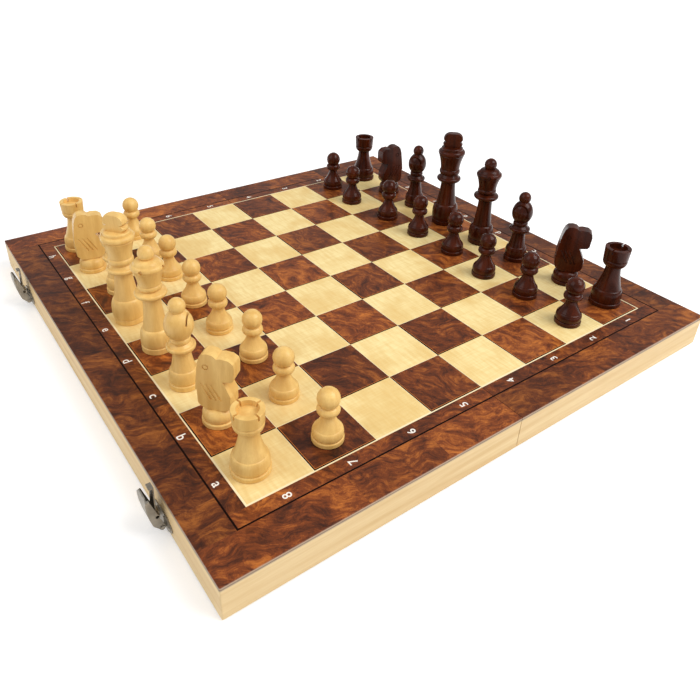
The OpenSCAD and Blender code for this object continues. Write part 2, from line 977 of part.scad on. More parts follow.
module rook(size) {
    ring_z = stand_h(rook_plinth, rook_bulge, rook_stem, rook_collar);
    top_z = ring_z + rook_tower[1];
    difference() {
        lathe(size)
            polygon(concat(
                stand(rook_plinth, rook_bulge, rook_stem, rook_neck_r, rook_collar),
                [[rook_tower[0] - 0.5, ring_z], [rook_tower[0] - 0.2, ring_z + 0.4]],
                arc([rook_tower[0] - edge_r + 0.2, top_z - edge_r], [edge_r, edge_r], 0, 90),
                [
                    [rook_hollow[0], top_z],
                    [rook_hollow[0] - 0.2, top_z - rook_hollow[1]],
                    [0, top_z - rook_hollow[1]]
                ]
            ));
        for (angle = [0, 90])
            rotate(angle)
                translate([-2 * rook_tower[0], -rook_cut[0] / 2, size.y * top_z - rook_cut[1]])
                    cube([4 * rook_tower[0], rook_cut[0], rook_cut[1] + overrun]);
    }
}

module pawn(size) {
    lathe(size)
        polygon(concat(
            stand(pawn_plinth, pawn_bulge, pawn_stem, pawn_neck_r, pawn_collar),
            ball_line(stand_h(pawn_plinth, pawn_bulge, pawn_stem, pawn_collar), pawn_ball_r)
        ));
}

module knight() {
    neck_z = knight_plinth[1] + knight_bulge[1];
    top_z = neck_z + knight_horse_h;
    horse_r = 2 * knight_breast_r;
    taper = (knight_thick[0] - knight_thick[1]) / 2 / (1 - shoulder_share);
    eye_face_y = knight_thick[1] / 2 + taper * (1 - eye_share.y);
    rotate_extrude()
        polygon(concat(
            foot(knight_plinth, knight_bulge),
            shoulder(knight_plinth, knight_bulge, knight_neck_r),
            [[knight_neck_r - 0.2, neck_z], [knight_neck_r, neck_z + 0.8], [0, neck_z + 0.8]]
        ));
    difference() {
        intersection() {
            rotate_extrude()
                polygon(concat(
                    [[0, neck_z]],
                    arc(
                        [knight_neck_r - 1, neck_z + breast_share[0] * knight_horse_h],
                        [knight_breast_r - knight_neck_r + 1, breast_share[0] * knight_horse_h],
                        -85,
                        0
                    ),
                    [
                        [knight_breast_r, neck_z + breast_share[1] * knight_horse_h],
                        [horse_r, neck_z + breast_share[2] * knight_horse_h],
                        [horse_r, top_z + overrun],
                        [0, top_z + overrun]
                    ]
                ));
            translate([0, horse_r / 2, neck_z])
                rotate([90, 0, 0])
                    linear_extrude(horse_r)
                        polygon(knight_horse_h * horse_side);
            translate([-horse_r, 0, neck_z])
                rotate([90, 0, 90])
                    linear_extrude(2 * horse_r)
                        polygon([
                            [-knight_thick[0] / 2, -overrun],
                            [knight_thick[0] / 2, -overrun],
                            [knight_thick[0] / 2, shoulder_share * knight_horse_h],
                            [knight_thick[1] / 2, knight_horse_h],
                            [-knight_thick[1] / 2, knight_horse_h],
                            [-knight_thick[0] / 2, shoulder_share * knight_horse_h]
                        ]);
        }
        for (face = [0, 1])
            mirror([0, face, 0]) {
                translate([
                    eye_share.x * knight_horse_h,
                    eye_face_y - engraving_h,
                    neck_z + eye_share.y * knight_horse_h
                ])
                    rotate([-90, 0, 0])
                        difference() {
                            cylinder(r = knight_eye_r, h = engraving_h + overrun);
                            cylinder(r = knight_eye_r - eye_line_w, h = 4 * overrun, center = true);
                        }
                for (i = [0 : mane_cuts - 1])
                    translate([
                        (mane_cut_share.x + mane_cut_step * i) * knight_horse_h,
                        knight_thick[0] / 2,
                        neck_z + mane_cut_share.y * knight_horse_h
                    ])
                        rotate([0, mane_lean, 0])
                            cylinder(r = mane_cut_r, h = mane_cut_l * knight_horse_h, center = true);
            }
    }
}

// A man is turned as wide and as high as its size says
module man(kind, tint, size) {
    color(tint) {
        if (kind == "king") king(size);
        if (kind == "queen") queen(size);
        if (kind == "bishop") bishop(size);
        if (kind == "knight") knight();
        if (kind == "rook") rook(size);
        if (kind == "pawn") pawn(size);
    }
}

// The middle of a square, counted from the far left corner of white's side
module on_square(row, column, drift, turn) {
    translate([
        (row - (squares - 1) / 2) * square + drift.x,
        (column - (squares - 1) / 2) * square + drift.y,
        half_h
    ])
        rotate(turn)
            children();
}

// ---- Everything ----

left_panel();
left_outer_wall();
left_inner_wall();
left_front_wall();
left_back_wall();
right_panel();
right_outer_wall();
right_inner_wall();
right_front_wall();
right_back_wall();
left_leaf(-1);  // front_hinge_left_leaf
left_leaf(1);  // back_hinge_left_leaf
right_leaf(-1);  // front_hinge_right_leaf
right_leaf(1);  // back_hinge_right_leaf
hinge_pins();
left_half_screws();
right_half_screws();
strikes();
latch_base(-1);  // front_latch_base
latch_base(1);  // back_latch_base
lever_rivets();
latch_lever(-1);  // front_latch_lever
claw_pin(-1);  // front_claw_pin
latch_claw(-1);  // front_latch_claw
latch_lever(1);  // back_latch_lever
claw_pin(1);  // back_claw_pin
latch_claw(1);  // back_latch_claw

for (j = [0 : squares - 1]) {
    on_square(0, j, white_back_drift[j], white_turn[j])
            man(kinds[j], boxwood, as_given);
    on_square(1, j, white_pawn_drift[j], 0)
            man("pawn", boxwood, as_given);
    on_square(squares - 2, j, black_pawn_drift[j], 0)
            man("pawn", stained, black_pawn_size);
    on_square(squares - 1, j, black_back_drift[j], black_turn[j])
            man(kinds[j], stained, black_back_size[j]);
}
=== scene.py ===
"""Looks of the folding games box and its chess men: veneers, inlays, coordinates, men, metalwork and stage."""

import math

import bmesh
import bpy
import numpy as np
from bpy.props import FloatProperty, FloatVectorProperty, IntProperty, PointerProperty
from bpy.types import Operator, Panel, PropertyGroup
from mathutils import Matrix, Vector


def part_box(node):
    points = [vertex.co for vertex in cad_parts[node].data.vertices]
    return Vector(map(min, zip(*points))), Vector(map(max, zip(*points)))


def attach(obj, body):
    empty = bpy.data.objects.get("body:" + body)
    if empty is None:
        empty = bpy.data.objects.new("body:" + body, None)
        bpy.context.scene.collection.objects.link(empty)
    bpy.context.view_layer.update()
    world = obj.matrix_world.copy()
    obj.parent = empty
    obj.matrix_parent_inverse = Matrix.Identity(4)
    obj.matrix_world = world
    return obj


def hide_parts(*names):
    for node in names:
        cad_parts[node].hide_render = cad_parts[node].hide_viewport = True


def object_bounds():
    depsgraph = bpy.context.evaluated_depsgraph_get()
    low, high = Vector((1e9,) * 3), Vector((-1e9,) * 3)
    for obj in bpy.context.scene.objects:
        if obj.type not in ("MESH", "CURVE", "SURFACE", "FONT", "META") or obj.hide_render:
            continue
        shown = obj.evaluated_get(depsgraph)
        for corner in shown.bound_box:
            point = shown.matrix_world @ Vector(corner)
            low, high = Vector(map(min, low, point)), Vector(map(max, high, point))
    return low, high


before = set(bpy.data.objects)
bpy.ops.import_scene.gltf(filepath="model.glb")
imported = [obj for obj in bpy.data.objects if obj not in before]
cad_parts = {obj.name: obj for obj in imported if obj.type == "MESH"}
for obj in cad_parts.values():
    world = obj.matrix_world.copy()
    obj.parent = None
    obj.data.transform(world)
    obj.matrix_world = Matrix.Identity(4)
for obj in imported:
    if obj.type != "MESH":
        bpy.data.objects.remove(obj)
cad_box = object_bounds()

bl_info = {
    "name": "Games compendium box",
    "version": (1, 0, 0),
    "blender": (4, 5, 0),
    "location": "3D View > Sidebar > Games box",
    "description": "Veneers, inlays, coordinates, men, metalwork and stage of a folding games box",
    "category": "Object",
}

MM = 0.001
WHITE = (1.0, 1.0, 1.0)
SQUARES = 8
FILES = "abcdefgh"
BACK_NAMES = ("rook_a", "knight_b", "bishop_c", "queen", "king", "bishop_f", "knight_g", "rook_h")
MAN_NAMES = BACK_NAMES + tuple(f"pawn_{letter}" for letter in FILES)
LEFT, RIGHT = -1, 1
HALVES = {"left": LEFT, "right": RIGHT}

# Brightness of the border's veneers, least and most: its front and back runs, side runs and corner pieces
RUN_TONES = {LEFT: (0.55, 0.95), RIGHT: (0.2, 0.6)}
SIDE_TONES = (0.0, 0.25)
END_TONES = {LEFT: (0.8, 1.0), RIGHT: (0.3, 0.5)}
END_SHARE = 4  # length of the surround's corner pieces, in widths of the surround
SIDE_SHARE = 0.86  # how far the side run's inner joints reach, beside half the field

FIGURE_STEPS = 4  # pieces that each curve of a figure is cut into
POINTS = 6  # points at each end of a tray
POINT_GAP = 0.06  # gap beside a point, as a share of its width

# Distances under which points of a CAD surface are one, and the sharpest bends that are shaded as smooth
WELD, SLIVER = 0.002 * MM, 0.001 * MM
TURNED_CREASE, SHEET_CREASE = math.radians(32), math.radians(30)

# The photograph's camera, solved from the crossings of the field: in pixels, degrees and metres
PHOTO_SIDE, FOCAL, MIDDLE = 700, 672.2, (339.1, 285.3)
BEARING, RISE, TILT = -36.54, 30.89, 1.88
EYE = np.array([-264.7, -369.0, 286.3]) * MM
SENSOR = 36.0
KEY_PLACE, FILL_PLACE = np.array([0.7, -0.9, 1.3]), np.array([-1.1, 0.3, 1.1])
FLOOR_REACH = 8.0
NEAR_FLOOR, FAR_FLOOR = 1.6, 4.0  # where the floor's lift starts and ends its change, in half boards

# The playing surface, the panel's underside and the outline of the open box come from the panels
PANEL_LOW, PANEL_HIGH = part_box("left_panel")
TOP_Z = PANEL_HIGH[2]
UNDER_Z = PANEL_LOW[2]
SEAM = -PANEL_HIGH[0]
HALF_BOARD = -PANEL_LOW[0]
FLOOR_Z = cad_box[0][2]


def tint(code):
    """A colour in linear light from the six hexadecimal digits it has on a screen."""
    shown = [int(code[i : i + 2], 16) / 255 for i in (0, 2, 4)]
    return tuple(s / 12.92 if s <= 0.04045 else ((s + 0.055) / 1.055) ** 2.4 for s in shown)


def opaque(colour):
    """A colour with its fourth number, as shader sockets want it."""
    return (*colour, 1.0)


def between(first, second, share):
    """The colour that lies a share of the way from the first to the second."""
    return tuple(a + (b - a) * share for a, b in zip(first, second))


# ---- Sizes and colours that a user would change ----


def number(name, description, default, **more):
    return FloatProperty(name=name, description=description, default=default, min=0.0, **more)


def length(name, description, default):
    return number(name, description, default, unit="LENGTH", precision=5)


def colour(name, description, code):
    return FloatVectorProperty(
        name=name, description=description, default=tint(code), size=3, min=0.0, max=1.0, subtype="COLOR"
    )


class BoxSizes(PropertyGroup):
    """Sizes of the veneer work, in metres"""

    square: length("Square", "Side of one square of the field", 41 * MM)
    veneer: length("Veneer", "Thickness of the veneer on the panels", 0.6 * MM)
    arris: length("Arris", "Easing of the edges of each veneer", 0.06 * MM)
    corner: length("Corner", "Radius of the upright corners of the panels", 0.8 * MM)
    hairline: length("Hairline", "Width of the dark lines between squares", 0.8 * MM)
    # The tan and pale lines that this width sets are painted highlights along the edges of the squares
    edging: length("Edging", "Width of the tan and pale lines beside the dark ones", 0.35 * MM)
    inlay: length("Inlay", "Width of the light line round the field", 0.8 * MM)
    band: length("Band", "Width of the band that holds the coordinates", 9.2 * MM)
    band_line: length("Band line", "Width of the dark line outside the band", 1.0 * MM)
    figure: length("Figures", "Type size of the coordinates", 7.4 * MM)
    figure_weight: length("Figure weight", "Thickening of the coordinates' strokes", 0.06 * MM)
    rank_out: length("Rank place", "Distance of the ranks' middles outside the field", 3.6 * MM)
    file_out: length("File place", "Distance of the files' middles outside the field", 5.7 * MM)
    file_shift: length("File shift", "How far the files stand past the middles of their squares", 2.2 * MM)
    file_growth: number("File growth", "Size of the files beside that of the ranks", 1.1)
    end_pull: length("Line pull", "How much nearer the field the lines lie at its front and back", 1.5 * MM)
    seam_gap: length("Veneer at the seam", "Distance of the veneer from the middle of the seam", 0.15 * MM)
    ink: length("Ink", "Thickness of the coordinates' paint", 0.03 * MM)
    wall: length("Wall", "Thickness of the walls round the trays", 8 * MM)
    point_length: length("Points", "Length of the points inlaid in the trays", 150 * MM)
    point_sink: length("Point relief", "How far the points stand out of the tray's board", 0.15 * MM)


class BoxColours(PropertyGroup):
    """Colours of the woods, metals and paint"""

    maple: colour("Maple", "Light squares", "F9E4A6")
    maple_figure: colour("Maple figure", "Ripples and blotches of the light squares", "DDB468")
    burl_deep: colour("Burl shadows", "Darkest places of the dark squares and border", "27100A")
    burl_mid: colour("Burl", "Main colour of the dark squares and border", "783A17")
    burl_bright: colour("Burl lights", "Brightest swirls of the dark squares and border", "D27C32")
    line_dark: colour("Dark line", "Dark lines between and round the squares", "120806")
    line_light: colour("Light line", "Light line round the field", "F6E4BC")
    wall: colour("Wall wood", "Pale wood of the walls", "EFD5A4")
    wall_figure: colour("Wall grain", "Darker grain of the walls", "CFA669")
    edge: colour("Panel edge", "Sawn edge of the playing panels", "B79A7C")
    # The dark line across the edge of the panels is a painted shadow line
    edge_line: colour("Edge line", "Painted shadow line in the edge of the panels", "776255")
    boxwood: colour("White men", "Pale wood of the white men", "F5CE80")
    boxwood_figure: colour("White men's grain", "Grain of the white men", "C68C36")
    stained: colour("Black men", "Stained wood of the black men", "552008")
    stained_figure: colour("Black men's grain", "Grain of the black men", "1C0805")
    nickel: colour("Nickel", "Plated steel of the latches", "A39C90")
    brass: colour("Brass", "Hinges and their screws", "C9A35A")
    ink: colour("Ink", "Paint of the coordinates", "F7F1E6")
    floor: colour("Floor", "Studio floor", "F4F4F4")


class BoxLight(PropertyGroup):
    """Light of the studio"""

    sky: number("Sky", "Strength of the even light from all round", 0.5)
    key: number("Key", "Power of the stronger lamp", 21.0, unit="POWER")
    fill: number("Fill", "Power of the weaker lamp", 7.0, unit="POWER")
    lamp_size: length("Lamp size", "Side of each soft lamp", 1.1)
    lift: number("Floor lift", "How much the floor beside the box is raised to white", 0.3)
    far_lift: number("Far floor lift", "How much the floor far from the box is raised to white", 0.75)
    seed: IntProperty(name="Seed", description="Choice of veneers out of the pile", default=5, min=0)


# ---- Meshes ----


def placed(context, name, data):
    """A new object in the scene."""
    made = bpy.data.objects.new(name, data)
    context.scene.collection.objects.link(made)
    return made


def coat(mesh, finish):
    """Gives a mesh its one material."""
    mesh.materials.clear()
    mesh.materials.append(finish)


def new_piece(context, mesh, body, finish, replaced=()):
    """Puts a finished mesh into the scene under its own name, on the body that carries it."""
    piece = placed(context, mesh.name, mesh)
    coat(mesh, finish)
    if replaced:
        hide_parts(*replaced)
    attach(piece, body)
    return piece


def lay(context, half, mesh, finish, replaced=()):
    """Puts a finished piece of veneer work on its half's panel."""
    new_piece(context, mesh, f"{half}_half", finish, replaced)


def mark_veneer(mesh, numbers):
    """Stores the number at each point that says which veneer or blank it was cut from."""
    layer = mesh.attributes.new("veneer", "FLOAT", "POINT")
    layer.data.foreach_set("value", np.asarray(numbers, dtype=np.float32))


def mesh_of(name, points, faces, veneer=None):
    """A mesh from its points and faces, with a veneer's number at each point where it has one."""
    mesh = bpy.data.meshes.new(name)
    mesh.from_pydata(points.reshape(-1, 3), [], faces)
    if veneer is not None:
        mark_veneer(mesh, veneer)
    mesh.validate()
    mesh.update()
    return mesh


def prisms(name, rings, veneer=None):
    """A mesh of closed prisms from rings[prism, level, corner], with one veneer's number for each prism."""
    if veneer is not None:
        veneer = np.repeat(veneer, rings.shape[1] * rings.shape[2])
    return mesh_of(name, rings, stacks(rings), veneer)


def stacks(rings):
    """Faces of closed prisms: each level of rings[prism, level, corner] joins the next, with both ends capped.

    Corner k of level m joins corner k + 1 and the same two corners of level m + 1, with k taken round the ring.
    """
    count, levels, corners = rings.shape[:3]
    start = np.arange(count)[:, None, None] * levels * corners
    low = start + np.arange(levels - 1)[None, :, None] * corners
    here = np.arange(corners)[None, None, :]
    there = (here + 1) % corners
    sides = np.stack([low + here, low + there, low + there + corners, low + here + corners], axis=-1)
    first = np.arange(count)[:, None] * levels * corners
    bottoms = first + np.arange(corners)[::-1]
    tops = first + (levels - 1) * corners + np.arange(corners)
    return sides.reshape(-1, 4).tolist() + bottoms.tolist() + tops.tolist()


def slips(x_from, x_to, y_from, y_to, z_from, z_to, arris):
    """Thin flat slips: each a rectangle carried from z_from up to z_to, its top drawn in by the arris."""
    draw = np.array([0.0, 0.0, arris])[None, :, None]
    side_x = np.array([0, 1, 1, 0])
    side_y = np.array([0, 0, 1, 1])
    x = np.where(side_x, x_to[:, None], x_from[:, None])[:, None, :] + draw * (1 - 2 * side_x)
    y = np.where(side_y, y_to[:, None], y_from[:, None])[:, None, :] + draw * (1 - 2 * side_y)
    z = np.broadcast_to(np.array([z_from, z_to - arris, z_to])[None, :, None], x.shape)
    return np.stack([x, y, z], axis=-1)


def rounded_end(side, x_in, x_out, y_low, y_high, low_r, high_r, steps=8):
    """Outline of a rectangle whose two outer corners are quarter circles of radii low_r and high_r.

    It goes round anticlockwise seen from above, and side is the sign of its outer end's x.
    """
    turn = np.linspace(0.0, math.pi / 2, steps + 1)
    low = np.stack([x_out - low_r + low_r * np.sin(turn), y_low + low_r - low_r * np.cos(turn)], axis=1)
    high = np.stack([x_out - high_r + high_r * np.cos(turn), y_high - high_r + high_r * np.sin(turn)], axis=1)
    outline = np.concatenate([[[x_in, y_low]], low, high, [[x_in, y_high]]])
    if side == LEFT:
        outline = (outline * [-1, 1])[::-1]
    return outline


def raised(outlines, heights):
    """Rings of prisms: each of outlines[prism, corner] repeated at each height."""
    outlines, heights = np.asarray(outlines), np.asarray(heights)
    rings = np.empty((len(outlines), len(heights), outlines.shape[1], 3))
    rings[..., :2] = outlines[:, None]
    rings[..., 2] = heights[:, None]
    return rings


def joined_copy(name, node, crease, veneer):
    """A copy of a node's surface, its triangles joined, smooth except across edges sharper than the crease."""
    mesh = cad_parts[node].data.copy()
    mesh.name = name
    shell = bmesh.new()
    shell.from_mesh(mesh)
    bmesh.ops.remove_doubles(shell, verts=shell.verts, dist=WELD)
    bmesh.ops.dissolve_degenerate(shell, edges=shell.edges, dist=SLIVER)
    for face in shell.faces:
        face.smooth = True
    for edge in shell.edges:
        edge.smooth = edge.is_manifold and edge.calc_face_angle(0.0) < crease
    shell.to_mesh(mesh)
    shell.free()
    mark_veneer(mesh, np.full(len(mesh.vertices), veneer))
    return mesh


def even_shading(piece):
    """Lets large faces decide the shading at their corners, so that long triangles don't show."""
    weigh = piece.modifiers.new("even_shading", "WEIGHTED_NORMAL")
    weigh.keep_sharp = True


# ---- Shader nodes ----


class Wires:
    """Short ways to add nodes to one shader tree and to join them."""

    def __init__(self, tree):
        self.tree = tree

    def feed(self, socket, value):
        """Joins an output to a socket, or sets the socket's own value."""
        if isinstance(value, bpy.types.NodeSocket):
            self.tree.links.new(value, socket)
        else:
            socket.default_value = value

    def add(self, kind, feeds=None, **settings):
        """One node of a kind, with its settings made and its inputs fed."""
        made = self.tree.nodes.new("ShaderNode" + kind)
        for setting, value in settings.items():
            setattr(made, setting, value)
        for name, value in (feeds or {}).items():
            self.feed(made.inputs[name], value)
        return made

    def place(self, group, feeds):
        """Outputs of a shared node group placed in this tree."""
        return self.add("Group", feeds, node_tree=shared_group(group)).outputs

    def math(self, operation, first, second=0.0):
        return self.add("Math", {0: first, 1: second}, operation=operation).outputs[0]

    def times(self, first, second):
        return self.math("MULTIPLY", first, second)

    def vector(self, operation, first, second):
        return self.add("VectorMath", {0: first, 1: second}, operation=operation).outputs[0]

    def spread(self, value, low, high, to_low=0.0, to_high=1.0):
        """The part of a value between low and high, spread evenly over another range."""
        feeds = {"Value": value, "From Min": low, "From Max": high, "To Min": to_low, "To Max": to_high}
        return self.add("MapRange", feeds).outputs["Result"]

    def mix_value(self, share, first, second):
        """A number that lies a share of the way from the first to the second."""
        return self.add("Mix", {0: share, 2: first, 3: second}, data_type="FLOAT").outputs[0]

    def mix(self, share, first, second, blend="MIX"):
        """A colour that lies a share of the way from the first to the second."""
        made = self.add("Mix", {0: share, 6: first, 7: second}, data_type="RGBA", blend_type=blend)
        return made.outputs[2]

    def tinge(self, mask, most, base, shade):
        """The base taken towards a shade where the mask is, by at most the given share."""
        return self.mix(self.times(mask, most), base, opaque(shade))

    def ramp(self, value, stops):
        """Colours along a value: stops are (place, colour) pairs from low to high."""
        made = self.add("ValToRGB", {"Fac": value})
        elements = made.color_ramp.elements
        while len(elements) < len(stops):
            elements.new(0.5)
        for element, (place, shade) in zip(elements, stops):
            element.position = place
            element.color = opaque(shade)
        return made.outputs["Color"]

    def noise(self, vector, scale, detail=3.0, roughness=0.5, distortion=0.0, seed=None):
        """Noise about 0.5, which a seed makes different from veneer to veneer."""
        feeds = {"Vector": vector, "Scale": scale, "Detail": detail, "Roughness": roughness}
        feeds["Distortion"] = distortion
        if seed is None:
            return self.add("TexNoise", feeds, noise_dimensions="3D").outputs["Fac"]
        return self.add("TexNoise", {**feeds, "W": seed}, noise_dimensions="4D").outputs["Fac"]

    def veneer(self):
        """The number that says which veneer or blank a point was cut from."""
        return self.add("Attribute", attribute_type="GEOMETRY", attribute_name="veneer").outputs["Fac"]

    def place_on_object(self, turn=0.0):
        """Coordinates of the object itself, turned about z by degrees."""
        where = self.add("TexCoord").outputs["Object"]
        feeds = {"Vector": where, "Rotation": (0.0, 0.0, math.radians(turn))}
        return self.add("Mapping", feeds).outputs["Vector"]

    def along(self, where, axis):
        """One coordinate of a point."""
        return self.add("SeparateXYZ", {0: where}).outputs[axis]


def new_group(name, numbers, outputs):
    """An empty group that takes a vector and numbers and gives numbers; returns its wires, entry and exit."""
    tree = bpy.data.node_groups.new(name, "ShaderNodeTree")
    tree.interface.new_socket(name="Vector", in_out="INPUT", socket_type="NodeSocketVector")
    for label, default in numbers.items():
        socket = tree.interface.new_socket(name=label, in_out="INPUT", socket_type="NodeSocketFloat")
        socket.default_value = default
    for label in outputs:
        tree.interface.new_socket(name=label, in_out="OUTPUT", socket_type="NodeSocketFloat")
    entry = tree.nodes.new("NodeGroupInput")
    leave = tree.nodes.new("NodeGroupOutput")
    return Wires(tree), entry.outputs, leave.inputs


def straight_grain_group():
    """Straight grain: noise drawn out along x. Broad gives the bands, Fine the fibres, Height their relief."""
    numbers = {"Seed": 0.0, "Bands": 160.0, "Draw": 14.0}
    w, given, out = new_group("Straight grain", numbers, ("Broad", "Fine", "Height"))
    shrink = w.math("DIVIDE", 1.0, given["Draw"])
    along = w.add("CombineXYZ", {"X": shrink, "Y": 1.0, "Z": 1.0}).outputs[0]
    drawn = w.vector("MULTIPLY", given["Vector"], along)
    broad = w.noise(drawn, given["Bands"], detail=2.0, roughness=0.45, distortion=0.4, seed=given["Seed"])
    fibre_scale = w.times(given["Bands"], 9.0)
    fine = w.noise(drawn, fibre_scale, detail=3.0, roughness=0.6, seed=given["Seed"])
    w.feed(out["Broad"], w.spread(broad, 0.32, 0.68))
    w.feed(out["Fine"], w.spread(fine, 0.3, 0.7))
    w.feed(out["Height"], w.times(fine, 0.7))
    return w.tree


def burl_group():
    """Burl: noise bent by slower noise. Figure joins swirls, streaks and fine arcs; Eyes marks the knots.

    bent = Vector + Bend / Scale * (slow noise - 0.5), and Figure = swirl * (1 - Streaks) + streak * Streaks
    + arc_depth * sin(arc_rate * swirl). The other rates are scales beside that of the swirls.
    """
    bend_rate, streak_rate, tone_rate, eye_rate = 0.45, 3.6, 0.3, 0.7
    arc_rate, arc_depth = 95.0, 0.06
    numbers = {"Seed": 0.0, "Scale": 60.0, "Bend": 1.6, "Streaks": 0.35}
    w, given, out = new_group("Burl figure", numbers, ("Figure", "Tone", "Eyes", "Height"))
    seed = w.times(given["Seed"], 37.0)
    scale = given["Scale"]
    slow_noise = w.add(
        "TexNoise",
        {"Vector": given["Vector"], "Scale": w.times(scale, bend_rate), "Detail": 2.0, "W": seed},
        noise_dimensions="4D",
    ).outputs["Color"]
    centred = w.vector("SUBTRACT", slow_noise, (0.5, 0.5, 0.5))
    reach = w.math("DIVIDE", given["Bend"], scale)
    push = w.add("VectorMath", {0: centred, "Scale": reach}, operation="SCALE").outputs[0]
    bent = w.vector("ADD", given["Vector"], push)
    swirl = w.noise(bent, scale, detail=8.0, roughness=0.74, distortion=0.5, seed=seed)
    drawn = w.vector("MULTIPLY", bent, (0.16, 1.0, 1.0))
    streak = w.noise(drawn, w.times(scale, streak_rate), detail=6.0, roughness=0.72, seed=seed)
    arcs = w.math("SINE", w.times(swirl, arc_rate))
    tone = w.noise(bent, w.times(scale, tone_rate), detail=3.0, roughness=0.55, seed=seed)
    joined = w.mix_value(given["Streaks"], w.spread(swirl, 0.34, 0.66), w.spread(streak, 0.34, 0.66))
    lined = w.math("ADD", joined, w.times(arcs, arc_depth))
    w.feed(out["Figure"], lined)
    w.feed(out["Tone"], w.spread(tone, 0.36, 0.64))
    cells = w.add(
        "TexVoronoi",
        {"Vector": bent, "Scale": w.times(scale, eye_rate), "W": seed, "Randomness": 1.0},
        voronoi_dimensions="4D",
        feature="F1",
    ).outputs["Distance"]
    w.feed(out["Eyes"], w.spread(cells, 0.06, 0.24, 1.0, 0.0))
    w.feed(out["Height"], lined)
    return w.tree


def ripple_group():
    """Rippled maple: fine bars across the grain, broken by noise, over faint fibres along it."""
    w, given, out = new_group("Ripple figure", {"Seed": 0.0, "Bars": 520.0}, ("Ripple", "Fibre", "Blotch"))
    seed = w.times(given["Seed"], 23.0)
    across = w.vector("MULTIPLY", given["Vector"], (1.0, 0.18, 1.0))
    along = w.vector("MULTIPLY", given["Vector"], (0.06, 1.0, 1.0))
    bars = w.noise(across, given["Bars"], detail=1.0, roughness=0.4, seed=seed)
    fibres = w.noise(along, w.times(given["Bars"], 2.2), detail=2.0, seed=seed)
    blotch = w.noise(given["Vector"], w.times(given["Bars"], 0.07), detail=2.0, seed=seed)
    w.feed(out["Ripple"], w.spread(bars, 0.35, 0.65))
    w.feed(out["Fibre"], w.spread(fibres, 0.35, 0.65))
    w.feed(out["Blotch"], w.spread(blotch, 0.38, 0.64))
    return w.tree


def handling_group():
    """Traces of handling: slow smudges in the polish and small dents."""
    w, given, out = new_group("Handling", {"Scale": 30.0}, ("Smudge", "Dents"))
    smudge = w.noise(given["Vector"], given["Scale"], detail=4.0, roughness=0.6)
    dents = w.noise(given["Vector"], w.times(given["Scale"], 9.0), detail=1.0)
    w.feed(out["Smudge"], w.spread(smudge, 0.3, 0.7))
    w.feed(out["Dents"], w.spread(dents, 0.62, 0.78))
    return w.tree


def shared_group(name):
    """A shared node group, built the first time that a material asks for it."""
    makers = {
        "Straight grain": straight_grain_group,
        "Burl figure": burl_group,
        "Ripple figure": ripple_group,
        "Handling": handling_group,
    }
    return bpy.data.node_groups.get(name) or makers[name]()


def new_finish(name, rough, coat=0.0, coat_rough=0.1, metal=0.0, specular=0.5):
    """A material, the wires of its tree and the inputs of its shader."""
    finish = bpy.data.materials.new(name)
    finish.use_nodes = True
    tree = finish.node_tree
    tree.nodes.clear()
    w = Wires(tree)
    feeds = {"Roughness": rough, "Metallic": metal, "Specular IOR Level": specular}
    shader = w.add("BsdfPrincipled", {**feeds, "Coat Weight": coat, "Coat Roughness": coat_rough})
    w.add("OutputMaterial", {"Surface": shader.outputs[0]})
    return finish, w, shader.inputs


def relief(w, shader, height, distance):
    """Feeds a height into the shader's normal; distance is how deep it goes, in metres."""
    bump = w.add("Bump", {"Height": height, "Strength": 0.5, "Distance": distance})
    w.feed(shader["Normal"], bump.outputs["Normal"])


def polish(w, shader, where, low, high, scale=30.0):
    """Smudges the shader's roughness between low and high; gives back the dents that go with the smudges."""
    handling = w.place("Handling", {"Vector": where, "Scale": scale})
    w.feed(shader["Roughness"], w.spread(handling["Smudge"], 0.0, 1.0, low, high))
    return handling["Dents"]


# ---- Finishes ----


def maple_finish(colours):
    """Pale maple with fine ripples, faint fibres and warm blotches, under satin lacquer."""
    finish, w, shader = new_finish("Rippled maple", 0.5, coat=0.1, coat_rough=0.25, specular=0.22)
    where = w.place_on_object()
    figure = w.place("Ripple figure", {"Vector": where, "Seed": w.veneer()})
    blotch = between(colours.maple, colours.maple_figure, 0.5)
    plain = w.ramp(figure["Blotch"], [(0.0, blotch), (0.6, colours.maple)])
    rippled = w.tinge(figure["Ripple"], 0.34, plain, colours.maple_figure)
    w.feed(shader["Base Color"], w.tinge(figure["Fibre"], 0.26, rippled, colours.maple_figure))
    polish(w, shader, where, 0.44, 0.56)
    relief(w, shader, figure["Fibre"], 0.02 * MM)
    return finish


def burl_finish(name, colours, scale, depth, streaks=0.35, turn=0.0, spread=0.3, bend=1.6):
    """Walnut burl: swirls from near black to orange-brown, dark eyes and fine light arcs, under lacquer.

    The brightness runs from 1 - spread to 1 + spread / 2 over the veneers' numbers; depth darkens all of them.
    """
    finish, w, shader = new_finish(name, 0.45, coat=0.12, coat_rough=0.2, specular=0.22)
    where = w.place_on_object(turn)
    seed = w.veneer()
    feeds = {"Vector": where, "Seed": seed, "Scale": scale, "Streaks": streaks, "Bend": bend}
    figure = w.place("Burl figure", feeds)
    toned = w.mix_value(0.24, figure["Figure"], figure["Tone"])
    swirls = w.ramp(
        w.math("SUBTRACT", toned, depth),
        [
            (0.0, colours.burl_deep),
            (0.25, between(colours.burl_deep, colours.burl_mid, 0.35)),
            (0.45, colours.burl_mid),
            (0.72, between(colours.burl_mid, colours.burl_bright, 0.6)),
            (1.0, colours.burl_bright),
        ],
    )
    eyed = w.tinge(figure["Eyes"], 0.5, swirls, colours.burl_deep)
    shade = w.spread(seed, 0.0, 1.0, 1.0 - spread, 1.0 + 0.5 * spread)
    w.feed(shader["Base Color"], w.mix(1.0, eyed, shade, blend="MULTIPLY"))
    polish(w, shader, where, 0.38, 0.52)
    relief(w, shader, figure["Height"], 0.015 * MM)
    return finish


